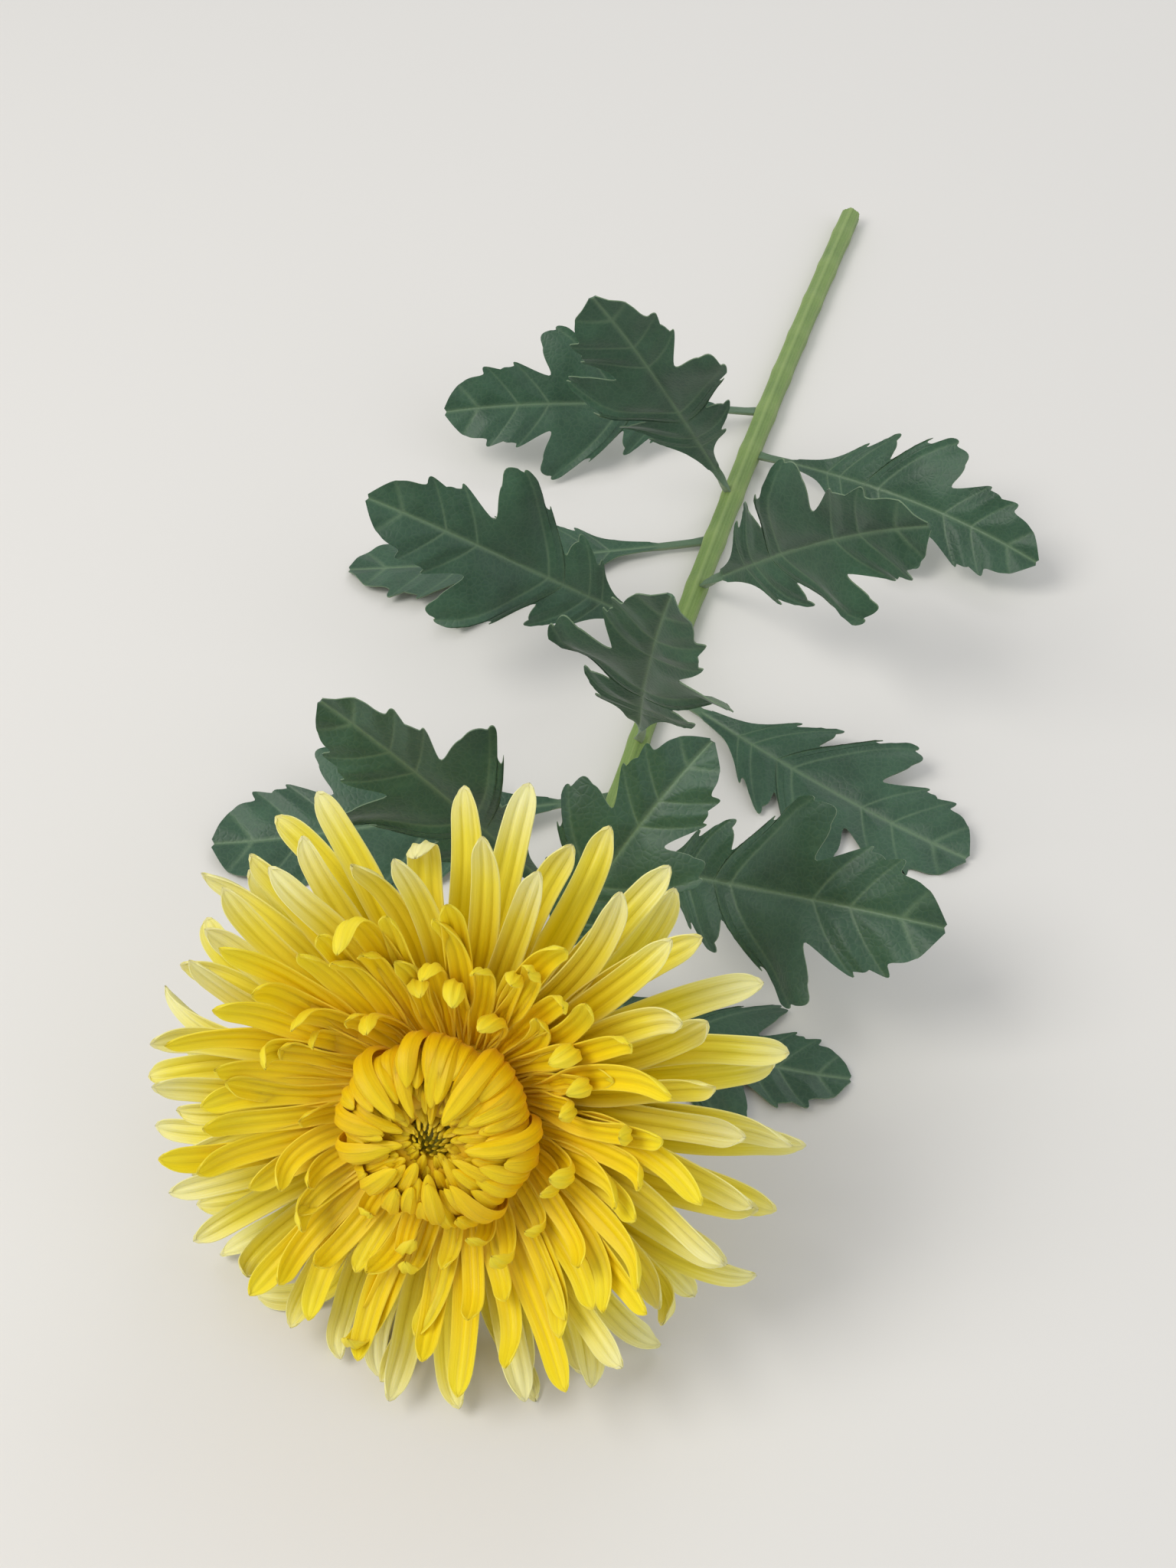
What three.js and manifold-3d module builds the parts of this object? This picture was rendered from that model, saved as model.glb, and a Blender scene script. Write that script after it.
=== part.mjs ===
// A single-headed cut chrysanthemum, lying on a flat surface with its bloom turned up at one end.
// Units are millimetres, +Z is up, and the stem runs along +Y from the bloom to its cut end.
import * as THREE from "three";
import { mergeVertices } from "three/addons/utils/BufferGeometryUtils.js";
import Module from "manifold-3d";

const wasm = await Module();
wasm.setup();

const RADIANS = Math.PI / 180;
const UP = new THREE.Vector3(0, 0, 1);

// The bloom: how high its base is held by the rays under it, and how far its axis is turned up.
const BLOOM_HEIGHT = 47;
const BLOOM_TILT = 30;
const GOLDEN_ANGLE = 137.508;
const FLORETS = 250;
const SHAPE_SEED = 4711;

// A floret: its size, its random turn, sway and shortening, and the clear gap between the flower's parts.
const RAY_WIDTH = 8.4;
const RAY_THICKNESS = 1.1;
const TURN_SPREAD = 5;
const SWAY_SPREAD = 5;
const SHORTENING = 0.13;
const GAP = 0.3;

// Where blades lie on the surface: the height over which they settle onto it and over which they turn level,
// how high the middle lines of the outermost rays lie, and how those over them rise with age.
const SETTLING = 9;
const RAY_LEVELLING = 14;
const RAY_REST = 0.12;
const RAY_REST_RISE = 28;
const RAYS_RISE_FROM = 0.1;

// Each row is a floret's side view at one age, 0 for the outermost and 1 for the innermost: its root,
// two handles and tip as [distance from the bloom's axis, height above the bloom's base].
const SIDE_VIEWS = [
  { age: 0.0, curve: [[13, 3.4], [38, 11], [66, 6], [86, -6]] },
  { age: 0.28, curve: [[9.5, 5], [30, 14], [61, 23], [76, 39]] },
  { age: 0.3, curve: [[13, 10.2], [30, 18], [50, 28], [60, 44]] },
  { age: 0.5, curve: [[10, 11], [29, 17], [47, 24], [46, 42]] },
  { age: 0.62, curve: [[8, 11.6], [24, 15], [42, 21], [33, 36]] },
  { age: 0.64, curve: [[12, 15.5], [31, 16], [33, 34], [15, 35]] },
  { age: 0.86, curve: [[9, 20], [21, 20], [22, 34], [7, 34]] },
  { age: 1.0, curve: [[7.5, 24], [10, 25], [10.5, 32], [4.6, 31.5]] },
];

// The three kinds of floret. Each is a body of its own, with its roots in its own slice of the flower's
// base, drawn as the slice's half section in [distance from the axis, height].
const WHORLS = [
  {
    name: "outer_rays", first: 0, count: 70, every: 1, width: 1, channel: 0.13, roll: 10, color: 0xeee36a,
    stations: [0, 0.22, 0.45, 0.68, 0.88, 1],
    base: [[0, -1.6], [14, 2.3], [17, 5.6], [15, 8.6], [0, 4.6]],
  },
  {
    name: "middle_rays", first: 75, count: 80, every: 2, width: 0.92, channel: 0.16, roll: 8, color: 0xf6cf12,
    stations: [0, 0.3, 0.56, 0.8, 1],
    base: [[0, 4.9], [15, 8.9], [19, 12.6], [17, 14.8], [0, 10.4]],
  },
  {
    name: "inner_florets", first: 160, count: 90, every: 2, width: 0.8, channel: 0.3, roll: 6,
    color: 0xf2bd0a,
    stations: [0, 0.36, 0.62, 0.84, 1],
    base: [[0, 10.7], [17, 15.1], [20, 20], [20, 26], [16, 29.5], [8, 30], [5, 25.7], [0, 25.5]],
  },
];

// The green eye: short pointed florets that lean together over a small dome in the bloom's middle.
const EYE_SECTION = [[0, 25.8], [2.6, 26.1], [2.5, 28], [0, 29.4]];
const EYE_FLORETS = 11;

// The stem: it leaves the bloom's base along the bloom's axis and comes down to lie on the surface.
const STEM_END = 470;
const STEM_DOWN_AT = 165;
const NECK_RADIUS = 2.5;
const CUT_RADIUS = 3.7;
const STEM_SIDES = 12;
const STEM_RINGS = 25;
const STEM_RIB = 0.08;
const STEM_BOW = 7;
const STEM_FLAT = 0.2;

// The green cup under the bloom, as its half section, and the bracts on it.
const CUP_SECTION = [[0, -9], [3.1, -9], [6.2, -7.2], [10.5, -3.4], [13.6, 1], [13.4, 1.75], [0, -1.95]];
const BRACT_COUNT = 16;
const BRACT_CURVE = [[8, -5.6], [12.3, -1.4], [15.4, 2.4]];
const BRACT_HALF_WIDTHS = [1.4, 2.2, 0.3];

// The leaves: where they stand along and round the stem. Their turns are drawn towards the top, so that none
// is under the stem.
const LEAF_COUNT = 13;
const FIRST_LEAF_AT = 36;
const LEAF_SPACING = 24.5;
const FIRST_LEAF_TURN = 40;
const LEAF_TURN_SHARE = 0.62;

// A leaf's size with its stalk, how it thins, folds, droops and turns its upper face up. The youngest leaves
// are smaller and stand out from the stem, and the others open less.
const LEAF_LENGTH = 116;
const YOUNGEST_SIZE = 0.72;
const STALK_SHARE = 0.15;
const STALK_HALF_WIDTH = 1.8;
const STALK_THICKNESS = 1.5;
const FOOT_THICKNESS = 1.2;
const LEAF_THICKNESS = 0.75;
const YOUNGEST_OPENING = 80;
const LEAF_OPENING = 62;
const YOUNG_LEAVES = 4;
const LEAF_DROOP = 0.5;
const LEAF_FOLD = 0.16;
const LEAF_TURNED_UP = 0.6;
const LEAF_LEVELLING = 26;
const LEAF_REST = 0.6;
const LEAF_STATIONS = 12;

// Half of a leaf's outline as [along the midrib, out from it], in lengths of the blade: the wedge at its foot,
// a low lobe, the large lobe and the end lobe, each with its teeth. The side veins slant forward.
const LEAF_MARGIN = [
  [0.0, 0.02], [0.12, 0.042], [0.19, 0.08], [0.25, 0.13], [0.27, 0.122], [0.35, 0.182], [0.375, 0.165],
  [0.37, 0.105], [0.43, 0.15], [0.49, 0.212], [0.515, 0.205], [0.585, 0.262], [0.64, 0.258], [0.668, 0.205],
  [0.63, 0.105], [0.755, 0.155], [0.775, 0.138], [0.85, 0.142], [0.872, 0.112], [0.945, 0.09], [1.0, 0.012],
];
const VEIN_SLANT = 0.9;

const PALE_GREEN = 0x7f9a55;
const LEAF_GREEN = 0x2f4f35;
const EYE_GREEN = 0x7d8a1e;

// Repeatable draws between 0 and 1, so that the flower grows the same way each time.
function drawsFrom(seed) {
  let state = seed;
  return () => {
    state = (state * 16807) % 2147483647;
    return state / 2147483647;
  };
}

const spread = (draw, amount) => (draw() * 2 - 1) * amount;
const clamp01 = (x) => Math.min(1, Math.max(0, x));
const ease = (x) => clamp01(x) ** 2 * (3 - 2 * clamp01(x));
const mix = (a, b, t) => a + (b - a) * t;

// Joins rings of points into one closed skin. A blade's ring starts at its upper middle and is at its lower
// middle half way round, and both faces are split alike, from the edge to the middle of the next ring.
function loft(rings) {
  const sides = rings[0].length;
  const positions = rings.flat().flatMap((p) => [p.x, p.y, p.z]);
  const faces = [];
  for (let ring = 0; ring + 1 < rings.length; ring++) {
    for (let side = 0; side < sides; side++) {
      const next = (side + 1) % sides;
      const a = ring * sides + side;
      const b = ring * sides + next;
      if (next % (sides / 2) === 0) faces.push(a, b, b + sides, a, b + sides, a + sides);
      else faces.push(a, b, a + sides, b, b + sides, a + sides);
    }
  }
  const last = (rings.length - 1) * sides;
  for (let side = 1; side + 1 < sides; side++) {
    faces.push(0, side + 1, side);
    faces.push(last, last + side, last + side + 1);
  }
  return new THREE.BufferGeometry()
    .setAttribute("position", new THREE.Float32BufferAttribute(positions, 3))
    .setIndex(faces);
}

// A closed geometry as a solid that can be joined and cut.
function solidOf(geometry) {
  const bare = geometry.clone();
  bare.deleteAttribute("normal");
  bare.deleteAttribute("uv");
  const merged = mergeVertices(bare, 1e-4);
  const solid = new wasm.Manifold(
    new wasm.Mesh({
      numProp: 3,
      vertProperties: merged.attributes.position.array,
      triVerts: new Uint32Array(merged.index.array),
    }),
  );
  if (solid.volume() > 0) return solid;
  const turned = new Uint32Array(merged.index.array);
  for (let i = 0; i < turned.length; i += 3) {
    [turned[i + 1], turned[i + 2]] = [turned[i + 2], turned[i + 1]];
  }
  return new wasm.Manifold(
    new wasm.Mesh({ numProp: 3, vertProperties: merged.attributes.position.array, triVerts: turned }),
  );
}

// The outer skin of a fused solid: sealed hollows are filled and loose scraps dropped.
function oneBody(solid) {
  return solid.decompose().reduce((best, body) => (body.volume() > best.volume() ? body : best));
}

function geometryOf(solid) {
  const made = solid.getMesh();
  return new THREE.BufferGeometry()
    .setAttribute("position", new THREE.BufferAttribute(made.vertProperties, 3))
    .setIndex(new THREE.BufferAttribute(made.triVerts, 1))
    .toNonIndexed();
}

// Cuts off what would go through the surface that the flower lies on, which leaves small flat spots.
// toWorld takes the solid's own frame to the flower's.
function cutAtSurface(solid, toWorld) {
  const depth = 40;
  const ground = new THREE.BoxGeometry(1400, 1400, depth).translate(0, 0, -depth / 2);
  ground.applyMatrix4(toWorld.clone().invert());
  return solid.subtract(solidOf(ground));
}

function meshOf(name, solid, color, roughness) {
  const geometry = geometryOf(solid);
  geometry.computeVertexNormals();
  const mesh = new THREE.Mesh(geometry, new THREE.MeshStandardMaterial({ color, roughness, metalness: 0 }));
  mesh.name = name;
  return mesh;
}

// The bloom's frame: its own +Z is the flower's axis, turned up from -Y.
const bloomMatrix = new THREE.Matrix4()
  .makeTranslation(0, 0, BLOOM_HEIGHT)
  .multiply(new THREE.Matrix4().makeRotationX((90 - BLOOM_TILT) * RADIANS));
const upInBloom = UP.clone().transformDirection(bloomMatrix.clone().invert());
const heightInBloom = (p) => p.clone().applyMatrix4(bloomMatrix).z;

function sideViewAt(age) {
  const after = Math.max(1, SIDE_VIEWS.findIndex((view) => view.age >= age));
  const low = SIDE_VIEWS[after - 1];
  const high = SIDE_VIEWS[after];
  const t = (age - low.age) / (high.age - low.age);
  return low.curve.map(([r, z], k) => [mix(r, high.curve[k][0], t), mix(z, high.curve[k][1], t)]);
}

function bezier(points, t) {
  const weights = [(1 - t) ** 3, 3 * t * (1 - t) ** 2, 3 * t * t * (1 - t), t ** 3];
  return [0, 1].map((k) => weights.reduce((sum, w, j) => sum + w * points[j][k], 0));
}

// The width of a strap-shaped floret at t, 0 at its root and 1 at its blunt tip.
function strap(t) {
  const shoulder = 0.7;
  const swell = mix(0.26, 1, ease(t / 0.55));
  return t < shoulder ? swell : swell * Math.max(0.34, Math.sqrt(1 - ((t - shoulder) / (1 - shoulder)) ** 3));
}

// Follows wanted steps from a start point, but bends them along the surface where they would go into it.
function layOnSurface(start, steps, up, heightOf, rest) {
  const points = [start.clone()];
  for (const step of steps) {
    const from = points[points.length - 1];
    const climb = step.dot(up);
    const allowed = climb < 0 ? climb * ease((heightOf(from) - rest) / SETTLING) : climb;
    const flat = step.clone().addScaledVector(up, -climb);
    const reach = Math.sqrt(Math.max(0, step.lengthSq() - allowed * allowed));
    const next = from.clone().addScaledVector(flat.normalize(), reach).addScaledVector(up, allowed);
    const under = rest - heightOf(next);
    points.push(under > 0 && climb < 0 ? next.addScaledVector(up, under) : next);
  }
  return points;
}

const forwardAt = (line, k) =>
  line[Math.min(k + 1, line.length - 1)].clone().sub(line[Math.max(k - 1, 0)]).normalize();

// Takes the direction across a blade and turns it about the blade's line: by a share of the way to lying
// level with its upper face up, and by an angle more.
function turnAcross(across0, forward, up, share, angle) {
  const across = across0.clone().addScaledVector(forward, -across0.dot(forward)).normalize();
  const level = up.clone().cross(forward).normalize();
  const toLevel = Math.atan2(across.clone().cross(level).dot(forward), across.dot(level));
  return across.applyAxisAngle(forward, toLevel * share + angle);
}

// One floret as a thin channelled blade, in the bloom's frame.
function floret(index, whorl) {
  const draw = drawsFrom(SHAPE_SEED + index * 131);
  draw();
  const age = index / (FLORETS - 1);
  const turn = (index * GOLDEN_ANGLE + spread(draw, TURN_SPREAD)) * RADIANS;
  const reach = 1 - SHORTENING * draw();
  const sway = spread(draw, SWAY_SPREAD) * RADIANS;
  const roll = spread(draw, whorl.roll) * RADIANS;
  const curve = sideViewAt(age);
  const wanted = whorl.stations.map((t) => {
    const [r, z] = bezier(curve, t * reach);
    const at = turn + sway * t * t;
    return new THREE.Vector3(r * Math.cos(at), r * Math.sin(at), z);
  });
  const steps = wanted.slice(1).map((p, k) => p.clone().sub(wanted[k]));
  const rest = RAY_REST + RAY_REST_RISE * Math.max(0, age - RAYS_RISE_FROM);
  const middle = layOnSurface(wanted[0], steps, upInBloom, heightInBloom, rest);
  const across0 = new THREE.Vector3(-Math.sin(turn), Math.cos(turn), 0);
  return loft(
    middle.map((p, k) => {
      const t = whorl.stations[k];
      const forward = forwardAt(middle, k);
      const lying = 1 - ease((heightInBloom(p) - rest) / RAY_LEVELLING);
      const across = turnAcross(across0, forward, upInBloom, lying, roll * t);
      const face = forward.clone().cross(across);
      const half = (RAY_WIDTH * whorl.width * strap(t)) / 2;
      const lift = half * 2 * whorl.channel;
      const thick = (RAY_THICKNESS / 2) * mix(1.2, 0.9, t);
      return [
        p.clone().addScaledVector(face, thick),
        p.clone().addScaledVector(across, half).addScaledVector(face, lift),
        p.clone().addScaledVector(face, -thick),
        p.clone().addScaledVector(across, -half).addScaledVector(face, lift),
      ];
    }),
  );
}

// A body of revolution about the bloom's axis, from its half section.
const turned = (section, sides) =>
  new THREE.LatheGeometry(section.map(([r, z]) => new THREE.Vector2(r, z)), sides).rotateX(Math.PI / 2);

// A whorl of florets fused to its slice of the flower's base.
function whorlSolid(whorl) {
  const base = turned(whorl.base, 14);
  const blades = [];
  for (let index = whorl.first; index < whorl.first + whorl.count; index += whorl.every) {
    blades.push(solidOf(floret(index, whorl)));
  }
  return oneBody(cutAtSurface(wasm.Manifold.union([solidOf(base), ...blades]), bloomMatrix));
}

// The green eye, each of its florets a three-sided spike with a bent tip.
function eyeSolid() {
  const parts = [solidOf(turned(EYE_SECTION, 10))];
  for (let index = 0; index < EYE_FLORETS; index++) {
    const share = (index + 0.5) / EYE_FLORETS;
    const turn = index * GOLDEN_ANGLE * RADIANS;
    const out = new THREE.Vector3(Math.cos(turn), Math.sin(turn), 0);
    const across = new THREE.Vector3(-Math.sin(turn), Math.cos(turn), 0);
    const line = [[2.9 * share, 27], [3.1 * share, 30 - share], [2.1 * share, 31.6 - 1.6 * share]];
    const rings = line.map(([r, z], k) => {
      const centre = out.clone().multiplyScalar(r).setZ(z);
      const half = [0.75, 0.6, 0.2][k];
      return [
        centre.clone().addScaledVector(out, half),
        centre.clone().addScaledVector(across, half).addScaledVector(out, -0.6 * half),
        centre.clone().addScaledVector(across, -half).addScaledVector(out, -0.6 * half),
      ];
    });
    parts.push(solidOf(loft(rings)));
  }
  return oneBody(wasm.Manifold.union(parts));
}

// The green cup under the bloom, with two rows of narrow bracts lying on it.
function cupSolid() {
  const parts = [solidOf(turned(CUP_SECTION, 14))];
  for (let index = 0; index < BRACT_COUNT; index++) {
    const row = index % 2;
    const turn = ((index + 0.5) * 360 * RADIANS) / BRACT_COUNT;
    const out = new THREE.Vector3(Math.cos(turn), Math.sin(turn), 0);
    const across = new THREE.Vector3(-Math.sin(turn), Math.cos(turn), 0);
    const line = BRACT_CURVE.map(([r, z]) => out.clone().multiplyScalar(r - 1.6 * row).setZ(z - 1.4 * row));
    parts.push(
      solidOf(
        loft(
          line.map((p, k) => {
            const face = forwardAt(line, k).cross(across);
            const half = BRACT_HALF_WIDTHS[k];
            return [
              p.clone().addScaledVector(face, 0.4),
              p.clone().addScaledVector(across, half).addScaledVector(face, 0.3),
              p.clone().addScaledVector(face, -0.45),
              p.clone().addScaledVector(across, -half).addScaledVector(face, 0.3),
            ];
          }),
        ),
      ),
    );
  }
  return oneBody(wasm.Manifold.union(parts));
}

// The stem's line, from the cup under the bloom down to the surface and along it to the cut.
const neck = new THREE.Vector3(0, 0, CUP_SECTION[0][1] - GAP).applyMatrix4(bloomMatrix);
const intoStem = new THREE.Vector3(0, 0, -1).transformDirection(bloomMatrix);
const stemLine = new THREE.CurvePath();
stemLine.add(
  new THREE.CubicBezierCurve3(
    neck,
    neck.clone().addScaledVector(intoStem, 50),
    new THREE.Vector3(0, STEM_DOWN_AT - 75, CUT_RADIUS),
    new THREE.Vector3(0, STEM_DOWN_AT, CUT_RADIUS),
  ),
);
stemLine.add(
  new THREE.CubicBezierCurve3(
    new THREE.Vector3(0, STEM_DOWN_AT, CUT_RADIUS),
    new THREE.Vector3(0, mix(STEM_DOWN_AT, STEM_END, 0.35), CUT_RADIUS),
    new THREE.Vector3(STEM_BOW * 0.4, mix(STEM_DOWN_AT, STEM_END, 0.7), CUT_RADIUS),
    new THREE.Vector3(STEM_BOW, STEM_END, CUT_RADIUS),
  ),
);
const stemLength = stemLine.getLength();
const leafDistance = (n) => FIRST_LEAF_AT + n * LEAF_SPACING;

// The stem's middle, its direction away from the bloom and its radius, at a distance from the bloom.
function stemAt(distance) {
  const u = clamp01(distance / stemLength);
  const radius = mix(NECK_RADIUS, CUT_RADIUS, ease(u * 1.6));
  const middle = stemLine.getPointAt(u);
  const sunk = middle.z - (radius - STEM_FLAT);
  if (distance > 60) middle.z -= sunk * ease((distance - 60) / 90);
  return { middle, along: stemLine.getTangentAt(u), radius };
}

function stemSolid() {
  const rings = Array.from({ length: STEM_RINGS }, (_, ring) => {
    const { middle, along, radius } = stemAt((stemLength * ring) / (STEM_RINGS - 1));
    const side = along.clone().cross(UP).normalize();
    const top = side.clone().cross(along);
    return Array.from({ length: STEM_SIDES }, (__, k) => {
      const angle = (k * 2 * Math.PI) / STEM_SIDES;
      const r = radius * (k % 2 === 0 ? 1 + STEM_RIB : 1 - STEM_RIB);
      const rise = r * Math.cos(angle);
      return middle.clone().addScaledVector(top, rise).addScaledVector(side, r * Math.sin(angle));
    });
  });
  return oneBody(cutAtSurface(solidOf(loft(rings)), new THREE.Matrix4()));
}

// One leaf: a thin blade folded a little along its midrib, thickest there. The foot of its stalk stands off
// the stem's middle by the stem's radius and standOff.
function leafSolid(n, standOff) {
  const draw = drawsFrom(SHAPE_SEED + 977 * (n + 1));
  draw();
  const { middle, along, radius } = stemAt(leafDistance(n));
  const toBloom = along.clone().negate();
  const top = UP.clone().addScaledVector(toBloom, -UP.dot(toBloom)).normalize();
  const side = top.clone().cross(toBloom);
  const around = ((((n * GOLDEN_ANGLE + FIRST_LEAF_TURN + 180) % 360) + 360) % 360) - 180;
  const turn = (around * LEAF_TURN_SHARE + spread(draw, 6)) * RADIANS;
  const out = top.clone().multiplyScalar(Math.cos(turn)).addScaledVector(side, Math.sin(turn));
  const across0 = toBloom.clone().cross(out);
  const turnedUp = LEAF_TURNED_UP * ease(Math.abs(turn) / (90 * RADIANS));
  const size = LEAF_LENGTH * mix(YOUNGEST_SIZE, 1, ease((n + 0.5) / YOUNG_LEAVES)) * (1 + spread(draw, 0.07));
  const opening = mix(YOUNGEST_OPENING, LEAF_OPENING, ease(n / YOUNG_LEAVES)) + spread(draw, 6);
  const arch = mix(6, 26, draw());
  const wanted = Array.from({ length: LEAF_STATIONS }, (_, k) => {
    const share = k / LEAF_STATIONS;
    const angle = (opening + arch * share) * RADIANS;
    return toBloom
      .clone()
      .multiplyScalar(Math.cos(angle))
      .addScaledVector(out, Math.sin(angle))
      .addScaledVector(UP, -LEAF_DROOP * share ** 1.5)
      .setLength(size / LEAF_STATIONS);
  });
  const start = middle.clone().addScaledVector(out, radius + standOff);
  const line = layOnSurface(start, wanted, UP, (p) => p.z, LEAF_REST);
  const midrib = new THREE.CatmullRomCurve3(line);
  const lean = spread(draw, 0.25);
  const margins = [-1, 1].map(() => 1 + spread(draw, 0.08));
  const rows = [];
  const addRow = (share, half, thick) => {
    const middleHere = midrib.getPointAt(share);
    const forward = midrib.getTangentAt(share);
    const lying = 1 - ease((middleHere.z - LEAF_REST) / LEAF_LEVELLING);
    const level = Math.max(lying, turnedUp * ease(share / 0.3));
    const across = turnAcross(across0, forward, UP, level, lean * share);
    const face = forward.clone().cross(across);
    const edge = (sign, offset) => {
      const width = half * (sign < 0 ? margins[0] : margins[1]);
      return middleHere
        .clone()
        .addScaledVector(across, width * sign)
        .addScaledVector(forward, width * VEIN_SLANT)
        .addScaledVector(face, width * LEAF_FOLD * (1 - 0.7 * lying) + offset);
    };
    rows.push([
      middleHere.clone().addScaledVector(face, thick * 0.5),
      edge(1, thick * 0.5), edge(1, -thick * 0.5),
      middleHere.clone().addScaledVector(face, -thick),
      edge(-1, -thick * 0.5), edge(-1, thick * 0.5),
    ]);
  };
  addRow(0, STALK_HALF_WIDTH, STALK_THICKNESS);
  addRow(STALK_SHARE * 0.55, STALK_HALF_WIDTH * 0.8, STALK_THICKNESS);
  for (const [x, y] of LEAF_MARGIN) {
    const foot = mix(STALK_SHARE, 1, Math.max(0, x - VEIN_SLANT * y));
    const thick = mix(FOOT_THICKNESS, LEAF_THICKNESS, ease(foot / 0.5));
    addRow(foot, y * size * (1 - STALK_SHARE), thick);
  }
  return oneBody(cutAtSurface(solidOf(loft(rows)), new THREE.Matrix4()));
}

const flower = new THREE.Group();
const bloom = new THREE.Group();
bloom.position.set(0, 0, BLOOM_HEIGHT);
bloom.rotation.x = (90 - BLOOM_TILT) * RADIANS;
flower.add(bloom);
bloom.add(meshOf("green_cup", cupSolid(), PALE_GREEN, 0.6));
for (const whorl of WHORLS) bloom.add(meshOf(whorl.name, whorlSolid(whorl), whorl.color, 0.6));
bloom.add(meshOf("green_eye", eyeSolid(), EYE_GREEN, 0.6));
const FIRST_TRY = 2.5;
const stem = stemSolid();
flower.add(meshOf("stem", stem, PALE_GREEN, 0.55));

// Each leaf is tried clear of the stem first, and then moved in until only the gap is left.
for (let n = 0; n < LEAF_COUNT; n++) {
  const spare = leafSolid(n, FIRST_TRY).minGap(stem, FIRST_TRY + GAP) - GAP;
  const name = `leaf_${String(n + 1).padStart(2, "0")}`;
  const leaf = meshOf(name, leafSolid(n, FIRST_TRY - spare), LEAF_GREEN, 0.55);
  const foot = stemAt(leafDistance(n)).middle;
  leaf.geometry.translate(-foot.x, -foot.y, -foot.z);
  leaf.position.copy(foot);
  flower.add(leaf);
}

// The flower's frame has its origin on the surface, under the middle of its box.
flower.updateMatrixWorld(true);
const box = new THREE.Box3().setFromObject(flower, true);
flower.position.set(-(box.min.x + box.max.x) / 2, -(box.min.y + box.max.y) / 2, 0);

export default flower;
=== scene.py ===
# %% [markdown]
# A cut chrysanthemum, lying on a table. The imported solids give its sizes and places: the bloom with its
# long strap rays and its dome of curled florets, the green cup, the stem and thirteen leaves. The solids
# are coarse, so this script grows the same flower again by the same rule, with thin channelled petals,
# veined leaves, a ribbed stem, colours and light. Each new piece takes the place of one solid, now hidden.

import bpy
import numpy as np
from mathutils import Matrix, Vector


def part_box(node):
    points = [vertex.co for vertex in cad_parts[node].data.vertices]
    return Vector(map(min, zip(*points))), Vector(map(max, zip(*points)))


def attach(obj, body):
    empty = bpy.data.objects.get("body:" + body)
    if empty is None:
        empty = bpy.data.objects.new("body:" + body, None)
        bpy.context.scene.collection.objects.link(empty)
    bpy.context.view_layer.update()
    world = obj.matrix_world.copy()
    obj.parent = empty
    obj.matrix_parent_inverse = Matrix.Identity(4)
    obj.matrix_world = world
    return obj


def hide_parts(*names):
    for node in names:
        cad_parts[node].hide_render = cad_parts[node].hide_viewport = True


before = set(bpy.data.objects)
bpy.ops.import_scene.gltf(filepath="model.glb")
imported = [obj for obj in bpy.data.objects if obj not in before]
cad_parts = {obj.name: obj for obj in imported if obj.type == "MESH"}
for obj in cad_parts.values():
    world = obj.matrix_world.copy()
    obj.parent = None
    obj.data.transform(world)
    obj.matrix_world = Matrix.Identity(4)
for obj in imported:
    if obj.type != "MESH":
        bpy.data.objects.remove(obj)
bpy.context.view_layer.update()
MM = 0.001


# %% [markdown]
# A plant repeats itself but never exactly. Each petal and leaf gets its own few random numbers, and their
# seed is its place in the plant, so that petal number 12 is the same in every run. The solids use the
# same draws, so the fine rays and leaves land where the coarse ones are.

# %% Repeatable draws
SHAPE_SEED = 4711
FLORET_STEP = 131
LEAF_STEP = 977
DRAW_FACTOR = 16807
DRAW_LIMIT = 2147483647


def draws_from(seed):
    """Gives a function whose calls give numbers between 0 and 1, always the same ones for one seed."""
    state = seed

    def draw():
        nonlocal state
        state = state * DRAW_FACTOR % DRAW_LIMIT
        return state / DRAW_LIMIT

    draw()
    return draw


def spread(draw, amount):
    return (draw() * 2 - 1) * amount


print("first draw of petal 12:", round(draws_from(SHAPE_SEED + 12 * FLORET_STEP)(), 3))


# %% Small helpers for numbers and directions
UP = np.array([0.0, 0.0, 1.0])


def mix(a, b, t):
    return a + (b - a) * t


def ease(x):
    """Goes from 0 to 1 as x does, with a soft start and end."""
    x = np.clip(x, 0, 1)
    return x * x * (3 - 2 * x)


def bell(x):
    """1 where x is 0, and soon 0 on both sides."""
    return np.exp(-(x**2))


def angles_round(sides):
    return np.arange(sides) * 2 * np.pi / sides


def unit(vectors):
    return vectors / np.linalg.norm(vectors, axis=-1, keepdims=True)


def turned_about(vector, axis, angle):
    """The vector turned about an axis, by Rodrigues' formula."""
    along_axis = axis * np.dot(axis, vector) * (1 - np.cos(angle))
    return vector * np.cos(angle) + np.cross(axis, vector) * np.sin(angle) + along_axis


# %% [markdown]
# Petals, leaves and the stem are all built like a boat: a row of rings with a skin over them. Numpy makes
# the rings, and one mesh holds all the skins of a piece. Subdivision would round off the grooves and the
# petals' thin edges, so the rings are simply close together. Each corner also keeps a few numbers as mesh
# attributes, such as how far along its petal it is, and the materials read those to know where to put
# their colours.

# %% Skins over rings
CREASE = 50


def sheet_rings(upper, lower):
    """Closed rings round a thin sheet. They run this way round so that the faces look outwards."""
    return np.concatenate([upper[:, ::-1], lower], axis=1)


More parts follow.
